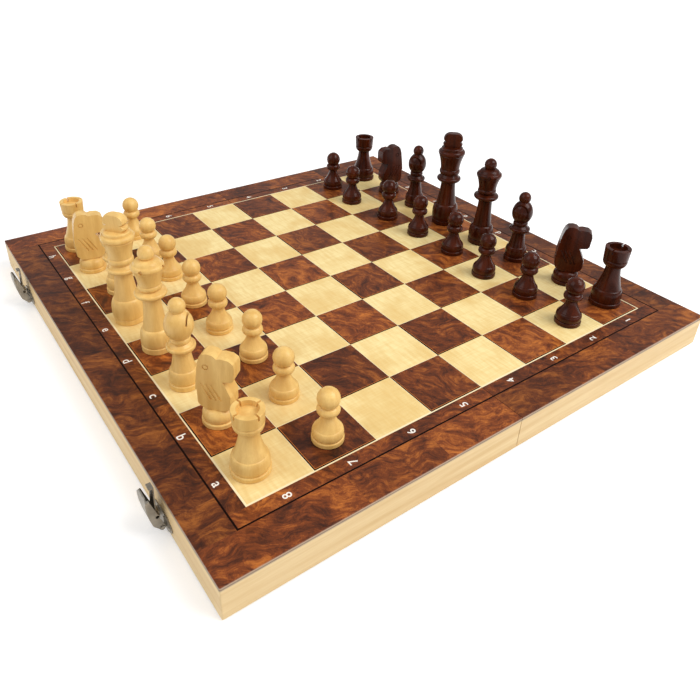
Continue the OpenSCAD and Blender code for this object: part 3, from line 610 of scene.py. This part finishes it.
def line_finish(name, shade, figure, rough, specular=0.3):
    """A thin wood line with faint lengthwise variation."""
    finish, w, shader = new_finish(name, rough, specular=specular)
    grain = w.noise(w.place_on_object(), 240.0)
    w.feed(shader["Base Color"], w.tinge(w.spread(grain, 0.3, 0.7), 0.35, opaque(shade), figure))
    relief(w, shader, grain, 0.01 * MM)
    return finish


def wall_finish(name, colours, turn):
    """Pale straight-grained wood, its grain turned to run along the wall."""
    finish, w, shader = new_finish(name, 0.55, specular=0.25)
    where = w.place_on_object(turn)
    grain = w.place("Straight grain", {"Vector": where, "Bands": 210.0, "Draw": 22.0})
    broad = w.tinge(grain["Broad"], 0.5, opaque(colours.wall), colours.wall_figure)
    w.feed(shader["Base Color"], w.tinge(grain["Fine"], 0.3, broad, colours.wall_figure))
    polish(w, shader, where, 0.42, 0.58)
    relief(w, shader, grain["Height"], 0.04 * MM)
    return finish


def core_finish(colours):
    """The panel under its veneer: pale plies in the edge with a painted shadow line across them, and fibres on the
    underside.
    """
    finish, w, shader = new_finish("Panel core", 0.55)
    where = w.place_on_object()
    grain = w.place("Straight grain", {"Vector": where, "Bands": 150.0, "Draw": 18.0})
    share = w.spread(w.along(where, "Z"), UNDER_Z, TOP_Z)
    pale, shadow_band = between(colours.edge, colours.wall, 0.35), colours.edge_line
    # The dark band in this ramp is a painted shadow line across the edge
    plies = w.ramp(share, [(0.0, pale), (0.22, pale), (0.27, shadow_band), (0.42, shadow_band), (0.47, colours.edge)])
    w.feed(shader["Base Color"], w.tinge(grain["Fine"], 0.3, plies, shadow_band))
    relief(w, shader, grain["Height"], 0.03 * MM)
    return finish


def turned_finish(name, plain, figure, share, rough, coat, coat_rough):
    """Turned wood: upright grain that takes a share of the figure's colour, smudges and dents, under polish."""
    finish, w, shader = new_finish(name, rough, coat=coat, coat_rough=coat_rough, specular=0.3)
    shader["Specular Tint"].default_value = opaque(between(plain, WHITE, 0.5))
    where = w.place_on_object()
    upright = w.add("Mapping", {"Vector": where, "Rotation": (0.0, math.pi / 2, 0.0)}).outputs["Vector"]
    seed = w.times(w.veneer(), 53.0)
    feeds = {"Vector": upright, "Seed": seed, "Bands": 190.0, "Draw": 9.0}
    grain = w.place("Straight grain", feeds)
    broad = w.tinge(grain["Broad"], share, opaque(plain), figure)
    w.feed(shader["Base Color"], w.tinge(grain["Fine"], share * 0.5, broad, figure))
    dents = polish(w, shader, where, max(rough - 0.06, 0.05), rough + 0.08, scale=60.0)
    relief(w, shader, w.math("ADD", grain["Height"], dents), 0.03 * MM)
    return finish


def metal_finish(name, plain, rough, tarnish):
    """Plated or polished metal: fine draw marks, smudged roughness and darker tarnish in slow patches."""
    finish, w, shader = new_finish(name, rough, metal=1.0)
    where = w.place_on_object()
    marks = w.noise(w.vector("MULTIPLY", where, (1.0, 0.12, 1.0)), 2600.0, detail=2.0)
    patches = w.spread(w.noise(where, 160.0), 0.4, 0.75)
    dark = tuple(c * 0.45 for c in plain)
    w.feed(shader["Base Color"], w.tinge(patches, tarnish, opaque(plain), dark))
    w.feed(shader["Roughness"], w.spread(marks, 0.3, 0.7, max(rough - 0.08, 0.05), rough + 0.1))
    relief(w, shader, marks, 0.01 * MM)
    return finish


def screw_finish(colours):
    """Screws: brass in the hinges, and nickel in the outer walls, with draw marks."""
    finish, w, shader = new_finish("Screws", 0.36, metal=1.0)
    where = w.place_on_object()
    outside = w.math("GREATER_THAN", w.math("ABSOLUTE", w.along(where, "X")), HALF_BOARD - 10 * MM)
    marks = w.noise(where, 1400.0, detail=2.0)
    plain = w.mix(outside, opaque(colours.brass), opaque(colours.nickel))
    w.feed(shader["Base Color"], w.tinge(w.spread(marks, 0.4, 0.7), 0.4, plain, colours.line_dark))
    w.feed(shader["Roughness"], w.spread(marks, 0.3, 0.7, 0.28, 0.46))
    relief(w, shader, marks, 0.01 * MM)
    return finish


def ink_finish(colours):
    """Screen paint, slightly thin in places."""
    finish, w, shader = new_finish("Coordinate paint", 0.45)
    thin = w.noise(w.place_on_object(), 1500.0, detail=2.0)
    worn = between(colours.ink, colours.burl_mid, 0.25)
    w.feed(shader["Base Color"], w.tinge(w.spread(thin, 0.55, 0.8), 0.6, opaque(colours.ink), worn))
    relief(w, shader, thin, 0.01 * MM)
    return finish


# ---- Operators ----


class GAMESBOX_OT_panels(Operator):
    """Cuts the core of each playing panel, with rounded outer corners and the plies in its edge"""

    bl_idname = "gamesbox.panels"
    bl_label = "Panels"

    def execute(self, context):
        sizes = context.scene.box_sizes
        finish = core_finish(context.scene.box_colours)
        radii = sizes.corner, sizes.corner
        for half, side in HALVES.items():
            outline = rounded_end(side, SEAM, HALF_BOARD, PANEL_LOW[1], PANEL_HIGH[1], *radii)
            mesh = prisms(f"{half}_panel_core", raised([outline], [UNDER_Z, TOP_Z - sizes.veneer]))
            lay(context, half, mesh, finish, [f"{half}_panel"])
        return {"FINISHED"}


class GAMESBOX_OT_squares(Operator):
    """Lays the light and dark squares of the field, with dark hairlines along their sides and tan and pale painted
    highlights along their edges
    """

    bl_idname = "gamesbox.squares"
    bl_label = "Squares"

    def execute(self, context):
        sizes = context.scene.box_sizes
        colours = context.scene.box_colours
        draw = np.random.default_rng(context.scene.box_light.seed)
        files, ranks = (grid.ravel() for grid in np.meshgrid(np.arange(SQUARES), np.arange(SQUARES // 2)))
        bottom, top = TOP_Z - sizes.veneer, TOP_Z
        line, edging = sizes.hairline, sizes.edging
        maple = maple_finish(colours)
        burl = burl_finish(
            "Burl squares", colours, scale=62.0, depth=0.07, streaks=0.6, turn=60, spread=0.25, bend=3.6
        )
        dark_line = line_finish("Dark hairline", colours.line_dark, colours.burl_deep, 0.5, specular=0.05)
        # Tan slips along the low-x and low-y edges of the dark squares: a painted highlight of those edges
        tan = between(colours.burl_mid, colours.burl_bright, 0.7)
        tan_highlight_finish = line_finish("Tan painted highlight", tan, colours.burl_bright, 0.5)
        # Pale slips along the low-x, low-y and high-x edges of the light squares: a painted highlight of those
        # edges
        pale_line = line_finish("Pale painted highlight", colours.line_light, colours.maple, 0.5)
        for half, side in HALVES.items():
            column = ranks - SQUARES // 2 if side == LEFT else ranks
            light = (column + SQUARES // 2 + files) % 2 == 0
            sides = self.sides(sizes, side, column, files)
            dark, pale = sides[:, ~light], sides[:, light]
            sorts = (("dark", dark, burl, line + edging, 0.0), ("light", pale, maple, edging, edging))
            for sort, (x0, x1, y0, y1), finish, low_gap, high_gap in sorts:
                rings = slips(x0 + low_gap, x1 - high_gap, y0 + low_gap, y1, bottom, top, sizes.arris)
                mesh = prisms(f"{half}_{sort}_squares", rings, draw.random(len(x0)))
                lay(context, half, mesh, finish)
            # The pale painted highlight along the high-x edge of each light square
            high_x_highlight = np.stack([pale[1] - edging, pale[1], pale[2] + edging, pale[3]])
            lines = (
                ("dark", dark_line, self.angle(*dark, 0.0, line)),
                ("tan", tan_highlight_finish, self.angle(*dark, line, edging)),
                ("pale", pale_line, np.concatenate([self.angle(*pale, 0.0, edging), high_x_highlight], axis=1)),
            )
            for sort, finish, laid in lines:
                mesh = prisms(f"{half}_{sort}_hairlines", slips(*laid, bottom, top, 0.0))
                lay(context, half, mesh, finish)
        return {"FINISHED"}

    @staticmethod
    def sides(sizes, side, column, files):
        """Low and high x, then low and high y, of each square, cut at the seam and at the inlay round them."""
        x_low = column * sizes.square
        x_high = x_low + sizes.square
        y_low = (files - SQUARES / 2) * sizes.square
        y_high = y_low + sizes.square
        if side == LEFT:
            x_high = np.minimum(x_high, -sizes.seam_gap)
        else:
            x_low = np.maximum(x_low, sizes.seam_gap)
        most_x = SQUARES / 2 * sizes.square - sizes.inlay
        most = np.array([most_x, most_x, most_x - sizes.end_pull, most_x - sizes.end_pull])[:, None]
        return np.clip([x_low, x_high, y_low, y_high], -most, most)

    @staticmethod
    def angle(x_low, x_high, y_low, y_high, inset, width):
        """Two slips along the low-x and low-y sides of each square, inset from its edge."""
        x_in, y_in = x_low + inset, y_low + inset
        along_y = [x_in, x_in + width, y_in + width, y_high]
        along_x = [x_in, x_high, y_in, y_in + width]
        return np.concatenate([along_y, along_x], axis=1)


class GAMESBOX_OT_border(Operator):
    """Lays the border round the field: light inlay, coordinate band, dark line and burl surround"""

    bl_idname = "gamesbox.border"
    bl_label = "Border"

    def execute(self, context):
        sizes = context.scene.box_sizes
        colours = context.scene.box_colours
        draw = np.random.default_rng(context.scene.box_light.seed + 1)
        inlay = SQUARES / 2 * sizes.square
        field = inlay - sizes.inlay
        band = inlay + sizes.band
        line = band + sizes.band_line
        pale_line = line_finish("Light inlay", colours.line_light, colours.maple, 0.45)
        walnut = burl_finish(
            "Band walnut", colours, scale=90.0, depth=0.09, streaks=0.55, turn=25, spread=0.25, bend=2.6
        )
        dark_line = line_finish("Dark inlay", colours.line_dark, colours.burl_deep, 0.5, specular=0.05)
        burl = burl_finish(
            "Burl surround", colours, scale=80.0, depth=0.04, streaks=0.58, turn=25, spread=0.5, bend=2.6
        )
        strips = (
            ("inlay", field, inlay, pale_line, 1),
            ("coordinate_band", inlay, band, walnut, 3),
            ("band_line", band, line, dark_line, 1),
            ("surround", line, HALF_BOARD, burl, 2),
        )
        for half, side in HALVES.items():
            for strip, inner, outer, finish, cuts in strips:
                self.lay_strip(context, half, side, strip, inner, outer, finish, cuts, draw)
        return {"FINISHED"}

    @staticmethod
    def lay_strip(context, half, side, strip, inner, outer, finish, cuts, draw):
        """One strip round three sides of a half, each run in cuts and the side run in twice as many.

        The side run butts against the other two. The surround's corners are pieces of their own.
        """
        sizes = context.scene.box_sizes
        bottom, top = TOP_Z - sizes.veneer, TOP_Z
        corner = sizes.corner if strip == "surround" else 0.0
        runs_end = outer - END_SHARE * (outer - inner) if corner else outer
        runs = np.linspace(sizes.seam_gap, runs_end, cuts + 1)
        x0, x1 = np.tile(runs[:-1], 2), np.tile(runs[1:], 2)
        inner_y = inner - sizes.end_pull
        outer_y = outer - sizes.end_pull if outer < HALF_BOARD else outer
        y0 = np.repeat([-outer_y, inner_y], cuts)
        y1 = np.repeat([-inner_y, outer_y], cuts)
        joints = np.linspace(-SIDE_SHARE, SIDE_SHARE, 2 * cuts - 1)
        side_runs = inner_y * np.concatenate([[-1.0], joints, [1.0]])
        x0 = np.concatenate([x0, np.full(2 * cuts, inner)])
        x1 = np.concatenate([x1, np.full(2 * cuts, outer)])
        y0 = np.concatenate([y0, side_runs[:-1]])
        y1 = np.concatenate([y1, side_runs[1:]])
        if side == LEFT:
            x0, x1 = -x1, -x0
        rings = slips(x0, x1, y0, y1, bottom, top, sizes.arris if cuts > 1 else 0.0)
        points = rings.reshape(-1, 3)
        faces = stacks(rings)
        tones = [draw.uniform(*RUN_TONES[side], 2 * cuts), draw.uniform(*SIDE_TONES, 2 * cuts)]
        veneer = np.repeat(np.concatenate(tones), rings.shape[1] * rings.shape[2])
        ends = ((-outer_y, -inner_y, corner, 0.0), (inner_y, outer_y, 0.0, corner)) if corner else ()
        for end in ends:
            end_points = raised([rounded_end(side, runs_end, outer, *end)], [bottom, top]).reshape(-1, 3)
            faces += [[k + len(points) for k in face] for face in stacks(end_points.reshape(1, 2, -1, 3))]
            points = np.concatenate([points, end_points])
            veneer = np.concatenate([veneer, np.full(len(end_points), draw.uniform(*END_TONES[side]))])
        mesh = mesh_of(f"{half}_{strip}", points, faces, veneer)
        lay(context, half, mesh, finish)


class GAMESBOX_OT_coordinates(Operator):
    """Paints the files a to h and the ranks 1 to 8 in the band round the field"""

    bl_idname = "gamesbox.coordinates"
    bl_label = "Coordinates"

    def execute(self, context):
        sizes = context.scene.box_sizes
        finish = ink_finish(context.scene.box_colours)
        field = SQUARES / 2 * sizes.square
        places = (np.arange(SQUARES) - SQUARES / 2 + 0.5) * sizes.square
        for half, side in HALVES.items():
            figures = []
            away = -side  # up for a reader at the outer wall of this half
            for place, letter in zip(places, FILES):
                figures.append((letter, (side * (field + sizes.file_out), place + sizes.file_shift), away))
            for place, number in zip(places, range(SQUARES, 0, -1)):
                if place * side > 0:
                    figures.append((str(number), (place, -field - sizes.rank_out), LEFT))
                    figures.append((str(number), (place, field + sizes.rank_out), RIGHT))
            points, faces, count = [], [], 0
            for text, centre, up in figures:
                grown = sizes.file_growth if text in FILES else 1.0
                shape, rims = self.figure(context, text, sizes.figure * grown)
                x, y, z = shape.T
                points.append(np.stack([y * up + centre[0], -x * up + centre[1], z], axis=1))
                faces += [[k + count for k in rim] for rim in rims]
                count += len(shape)
            mesh = mesh_of(f"{half}_coordinates", np.concatenate(points), faces)
            lay(context, half, mesh, finish)
        return {"FINISHED"}

    @staticmethod
    def figure(context, text, type_size):
        """Points and faces of one figure, lying flat on the panel and centred on the origin."""
        sizes = context.scene.box_sizes
        curve = bpy.data.curves.new("figure", "FONT")
        curve.body = text
        curve.size = type_size
        curve.offset = sizes.figure_weight
        curve.extrude = sizes.ink / 2
        curve.resolution_u = FIGURE_STEPS
        holder = placed(context, "figure", curve)
        shape = bpy.data.meshes.new_from_object(holder.evaluated_get(context.evaluated_depsgraph_get()))
        points = np.empty(len(shape.vertices) * 3)
        shape.vertices.foreach_get("co", points)
        points = points.reshape(-1, 3)
        faces = [list(face.vertices) for face in shape.polygons]
        points[:, :2] -= (points[:, :2].min(axis=0) + points[:, :2].max(axis=0)) / 2
        points[:, 2] += TOP_Z + sizes.ink / 2
        bpy.data.objects.remove(holder)
        bpy.data.curves.remove(curve)
        bpy.data.meshes.remove(shape)
        return points, faces


class GAMESBOX_OT_tray_points(Operator):
    """Inlays the long points in the bottom of both trays, six at each end, dark and light in turn"""

    bl_idname = "gamesbox.tray_points"
    bl_label = "Tray points"

    def execute(self, context):
        sizes = context.scene.box_sizes
        colours = context.scene.box_colours
        dark = burl_finish("Dark points", colours, scale=90.0, depth=0.12)
        light = line_finish("Light points", colours.maple, colours.maple_figure, 0.5)
        inside_x = SEAM + sizes.wall
        inside_y = HALF_BOARD - sizes.wall
        width = (inside_y - inside_x) / POINTS
        gap = POINT_GAP * width
        end = np.repeat([-1.0, 1.0], POINTS // 2)
        base_y, tip_y = end * inside_y, end * (inside_y - sizes.point_length)
        place = np.arange(POINTS)
        for half, side in HALVES.items():
            for start, (sort, finish) in enumerate((("dark", dark), ("light", light))):
                chosen = np.concatenate([place[place % 2 == start], place[place % 2 != start]])
                low_x = inside_x + chosen * width + gap
                high_x = low_x + width - 2 * gap
                x = np.stack([low_x, high_x, (low_x + high_x) / 2], axis=1)
                corners = np.stack([x, np.stack([base_y, base_y, tip_y], axis=1)], axis=-1)
                corners[end > 0] = corners[end > 0, ::-1]
                if side == LEFT:
                    corners = (corners * [-1, 1])[:, ::-1]
                rings = raised(corners, [UNDER_Z - sizes.point_sink, UNDER_Z])
                mesh = prisms(f"{half}_{sort}_points", rings, np.linspace(0.1, 0.9, POINTS))
                lay(context, half, mesh, finish)
        return {"FINISHED"}


class GAMESBOX_OT_walls(Operator):
    """Gives the walls their pale wood, with the grain along each wall"""

    bl_idname = "gamesbox.walls"
    bl_label = "Walls"

    def execute(self, context):
        colours = context.scene.box_colours
        along_x = wall_finish("Wall wood along x", colours, 0.0)
        along_y = wall_finish("Wall wood along y", colours, 90.0)
        for half in HALVES:
            for wall, finish in (("outer", along_y), ("inner", along_y), ("front", along_x), ("back", along_x)):
                coat(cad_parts[f"{half}_{wall}_wall"].data, finish)
        return {"FINISHED"}


class GAMESBOX_OT_men(Operator):
    """Polishes the thirty-two men: each is its node's shape with smooth turned surfaces"""

    bl_idname = "gamesbox.men"
    bl_label = "Men"

    def execute(self, context):
        colours = context.scene.box_colours
        boxwood = colours.boxwood, colours.boxwood_figure
        white = turned_finish("Polished boxwood", *boxwood, share=0.45, rough=0.4, coat=0.2, coat_rough=0.2)
        stained = colours.stained, colours.stained_figure
        black = turned_finish("Polished stained wood", *stained, share=0.75, rough=0.24, coat=0.05, coat_rough=0.08)
        for army, finish in (("white", white), ("black", black)):
            for number, man in enumerate(MAN_NAMES):
                node = f"{army}_{man}"
                mesh = joined_copy(f"{node}_polished", node, TURNED_CREASE, number / len(MAN_NAMES))
                even_shading(new_piece(context, mesh, node, finish, [node]))
        return {"FINISHED"}


class GAMESBOX_OT_latches(Operator):
    """Plates the latches, their rivets and pins, and the strikes, with smooth shading round the bent sheets"""

    bl_idname = "gamesbox.latches"
    bl_label = "Latches"

    def execute(self, context):
        nickel = metal_finish("Dull nickel", context.scene.box_colours.nickel, rough=0.42, tarnish=0.7)
        carried = {
            "front_latch_base": "left_half",
            "back_latch_base": "left_half",
            "lever_rivets": "left_half",
            "strikes": "right_half",
            "front_latch_lever": "front_lever",
            "back_latch_lever": "back_lever",
            "front_claw_pin": "front_lever",
            "back_claw_pin": "back_lever",
            "front_latch_claw": "front_claw",
            "back_latch_claw": "back_claw",
        }
        for node, body in carried.items():
            mesh = joined_copy(f"{node}_plated", node, SHEET_CREASE, 0.0)
            new_piece(context, mesh, body, nickel, [node])
        return {"FINISHED"}


class GAMESBOX_OT_hinges(Operator):
    """Gives the hinges and their pins brass, and the screws brass or nickel"""

    bl_idname = "gamesbox.hinges"
    bl_label = "Hinges"

    def execute(self, context):
        brass = metal_finish("Satin brass", context.scene.box_colours.brass, rough=0.34, tarnish=0.5)
        leaves = [f"{end}_hinge_{half}_leaf" for end in ("front", "back") for half in HALVES]
        for node in leaves + ["hinge_pins"]:
            coat(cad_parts[node].data, brass)
        screws = screw_finish(context.scene.box_colours)
        for half in HALVES:
            coat(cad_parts[f"{half}_half_screws"].data, screws)
        return {"FINISHED"}


class GAMESBOX_OT_stage(Operator):
    """Sets the pale floor, the even light, the soft lamps and the camera"""

    bl_idname = "gamesbox.stage"
    bl_label = "Stage"

    def execute(self, context):
        light = context.scene.box_light
        self.floor(context, context.scene.box_colours, light)
        self.sky(context, light)
        self.lamp(context, "Key lamp", KEY_PLACE, light.key, light.lamp_size)
        self.lamp(context, "Fill lamp", FILL_PLACE, light.fill, light.lamp_size)
        self.camera(context)
        return {"FINISHED"}

    @staticmethod
    def floor(context, colours, light):
        """A flat floor, pale for the light and white for the eye, that keeps the box's shadow."""
        corners = np.array([[-1, -1], [1, -1], [1, 1], [-1, 1]]) * FLOOR_REACH
        points = np.concatenate([corners, np.full((4, 1), FLOOR_Z)], axis=1)
        mesh = mesh_of("studio_floor", points, [[0, 1, 2, 3]])
        finish, w, shader = new_finish("Studio floor", 0.9, specular=0.0)
        where = w.place_on_object()
        grain = w.spread(w.noise(where, 40.0), 0.3, 0.7)
        w.feed(shader["Base Color"], w.tinge(grain, 0.03, opaque(colours.floor), (0.9, 0.9, 0.9)))
        path = w.add("LightPath")
        seen = w.math("MAXIMUM", path.outputs["Is Camera Ray"], path.outputs["Is Glossy Ray"])
        seen = w.math("MAXIMUM", seen, path.outputs["Is Transmission Ray"])
        away = w.add("VectorMath", {0: where}, operation="LENGTH").outputs["Value"]
        raise_by = w.spread(away, NEAR_FLOOR * HALF_BOARD, FAR_FLOOR * HALF_BOARD, light.lift, light.far_lift)
        lift = w.add("Emission", {"Color": opaque(WHITE), "Strength": w.times(seen, raise_by)})
        surface = next(node for node in w.tree.nodes if node.type == "OUTPUT_MATERIAL").inputs["Surface"]
        both = w.add("AddShader", {0: surface.links[0].from_socket, 1: lift.outputs[0]})
        w.feed(surface, both.outputs[0])
        coat(mesh, finish)
        floor = placed(context, "studio_floor", mesh)

    @staticmethod
    def sky(context, light):
        """Even light from all round, white where it is seen."""
        world = bpy.data.worlds.new("Studio")
        world.use_nodes = True
        context.scene.world = world
        world.node_tree.nodes.clear()
        w = Wires(world.node_tree)
        path = w.add("LightPath")
        seen = w.math("MAXIMUM", path.outputs["Is Camera Ray"], path.outputs["Is Transmission Ray"])
        strength = w.spread(seen, 0.0, 1.0, light.sky, 1.0)
        ground = w.add("Background", {"Color": opaque(WHITE), "Strength": strength})
        w.add("OutputWorld", {"Surface": ground.outputs[0]})

    @staticmethod
    def lamp(context, name, place, power, size):
        """A square area lamp that faces the middle of the playing surface."""
        data = bpy.data.lights.new(name, "AREA")
        data.energy = power
        data.size = size
        lamp = placed(context, name, data)
        back = place - [0.0, 0.0, TOP_Z]
        back /= np.linalg.norm(back)
        across = np.cross([0.0, 0.0, 1.0], back)
        across /= np.linalg.norm(across)
        lamp.matrix_world = pose_matrix(across, np.cross(back, across), back, place)

    @staticmethod
    def camera(context):
        """The photograph's viewpoint, from the bearing, height and tilt of its line of sight."""
        bearing, rise, tilt = np.radians([BEARING, RISE, TILT])
        right = np.array([math.cos(bearing), math.sin(bearing), 0.0])
        away = np.array([math.sin(bearing), -math.cos(bearing), 0.0])
        back = math.cos(rise) * away + [0.0, 0.0, math.sin(rise)]
        up = np.cross(back, right)
        across = math.cos(tilt) * right + math.sin(tilt) * up
        above = math.cos(tilt) * up - math.sin(tilt) * right
        data = bpy.data.cameras.new("Camera")
        data.sensor_width = SENSOR
        data.lens = SENSOR * FOCAL / PHOTO_SIDE
        data.shift_x = (PHOTO_SIDE / 2 - MIDDLE[0]) / PHOTO_SIDE
        data.shift_y = (MIDDLE[1] - PHOTO_SIDE / 2) / PHOTO_SIDE
        data.clip_start = 0.01
        camera = placed(context, "Camera", data)
        camera.matrix_world = pose_matrix(across, above, back, EYE)
        context.scene.camera = camera


def pose_matrix(across, above, back, place):
    """A pose from its three axes and its place."""
    columns = np.eye(4)
    columns[:3] = np.stack([across, above, back, place], axis=1)
    return Matrix(columns.tolist())


STEPS = (
    GAMESBOX_OT_panels,
    GAMESBOX_OT_squares,
    GAMESBOX_OT_border,
    GAMESBOX_OT_coordinates,
    GAMESBOX_OT_tray_points,
    GAMESBOX_OT_walls,
    GAMESBOX_OT_men,
    GAMESBOX_OT_latches,
    GAMESBOX_OT_hinges,
    GAMESBOX_OT_stage,
)


class GAMESBOX_PT_panel(Panel):
    """The box's sizes, colours and light, and the steps that dress it"""

    bl_idname = "GAMESBOX_PT_panel"
    bl_label = "Games box"
    bl_space_type = "VIEW_3D"
    bl_region_type = "UI"
    bl_category = "Games box"

    def draw(self, context):
        scene = context.scene
        groups = {"Sizes": scene.box_sizes, "Colours": scene.box_colours, "Light": scene.box_light}
        for title, group in groups.items():
            column = self.layout.column(align=True)
            column.label(text=title)
            for name in group.__annotations__:
                column.prop(group, name)
        column = self.layout.column(align=True)
        for step in STEPS:
            column.operator(step.bl_idname)


GROUPS = (BoxSizes, BoxColours, BoxLight)


def register():
    for kind in (*GROUPS, *STEPS, GAMESBOX_PT_panel):
        bpy.utils.register_class(kind)
    bpy.types.Scene.box_sizes = PointerProperty(type=BoxSizes)
    bpy.types.Scene.box_colours = PointerProperty(type=BoxColours)
    bpy.types.Scene.box_light = PointerProperty(type=BoxLight)


def unregister():
    del bpy.types.Scene.box_light
    del bpy.types.Scene.box_colours
    del bpy.types.Scene.box_sizes
    for kind in reversed((*GROUPS, *STEPS, GAMESBOX_PT_panel)):
        bpy.utils.unregister_class(kind)


def main():
    register()
    bpy.context.scene.view_settings.view_transform = "Standard"
    for step in STEPS:
        group, name = step.bl_idname.split(".")
        getattr(getattr(bpy.ops, group), name)()


if __name__ == "__main__":
    main()
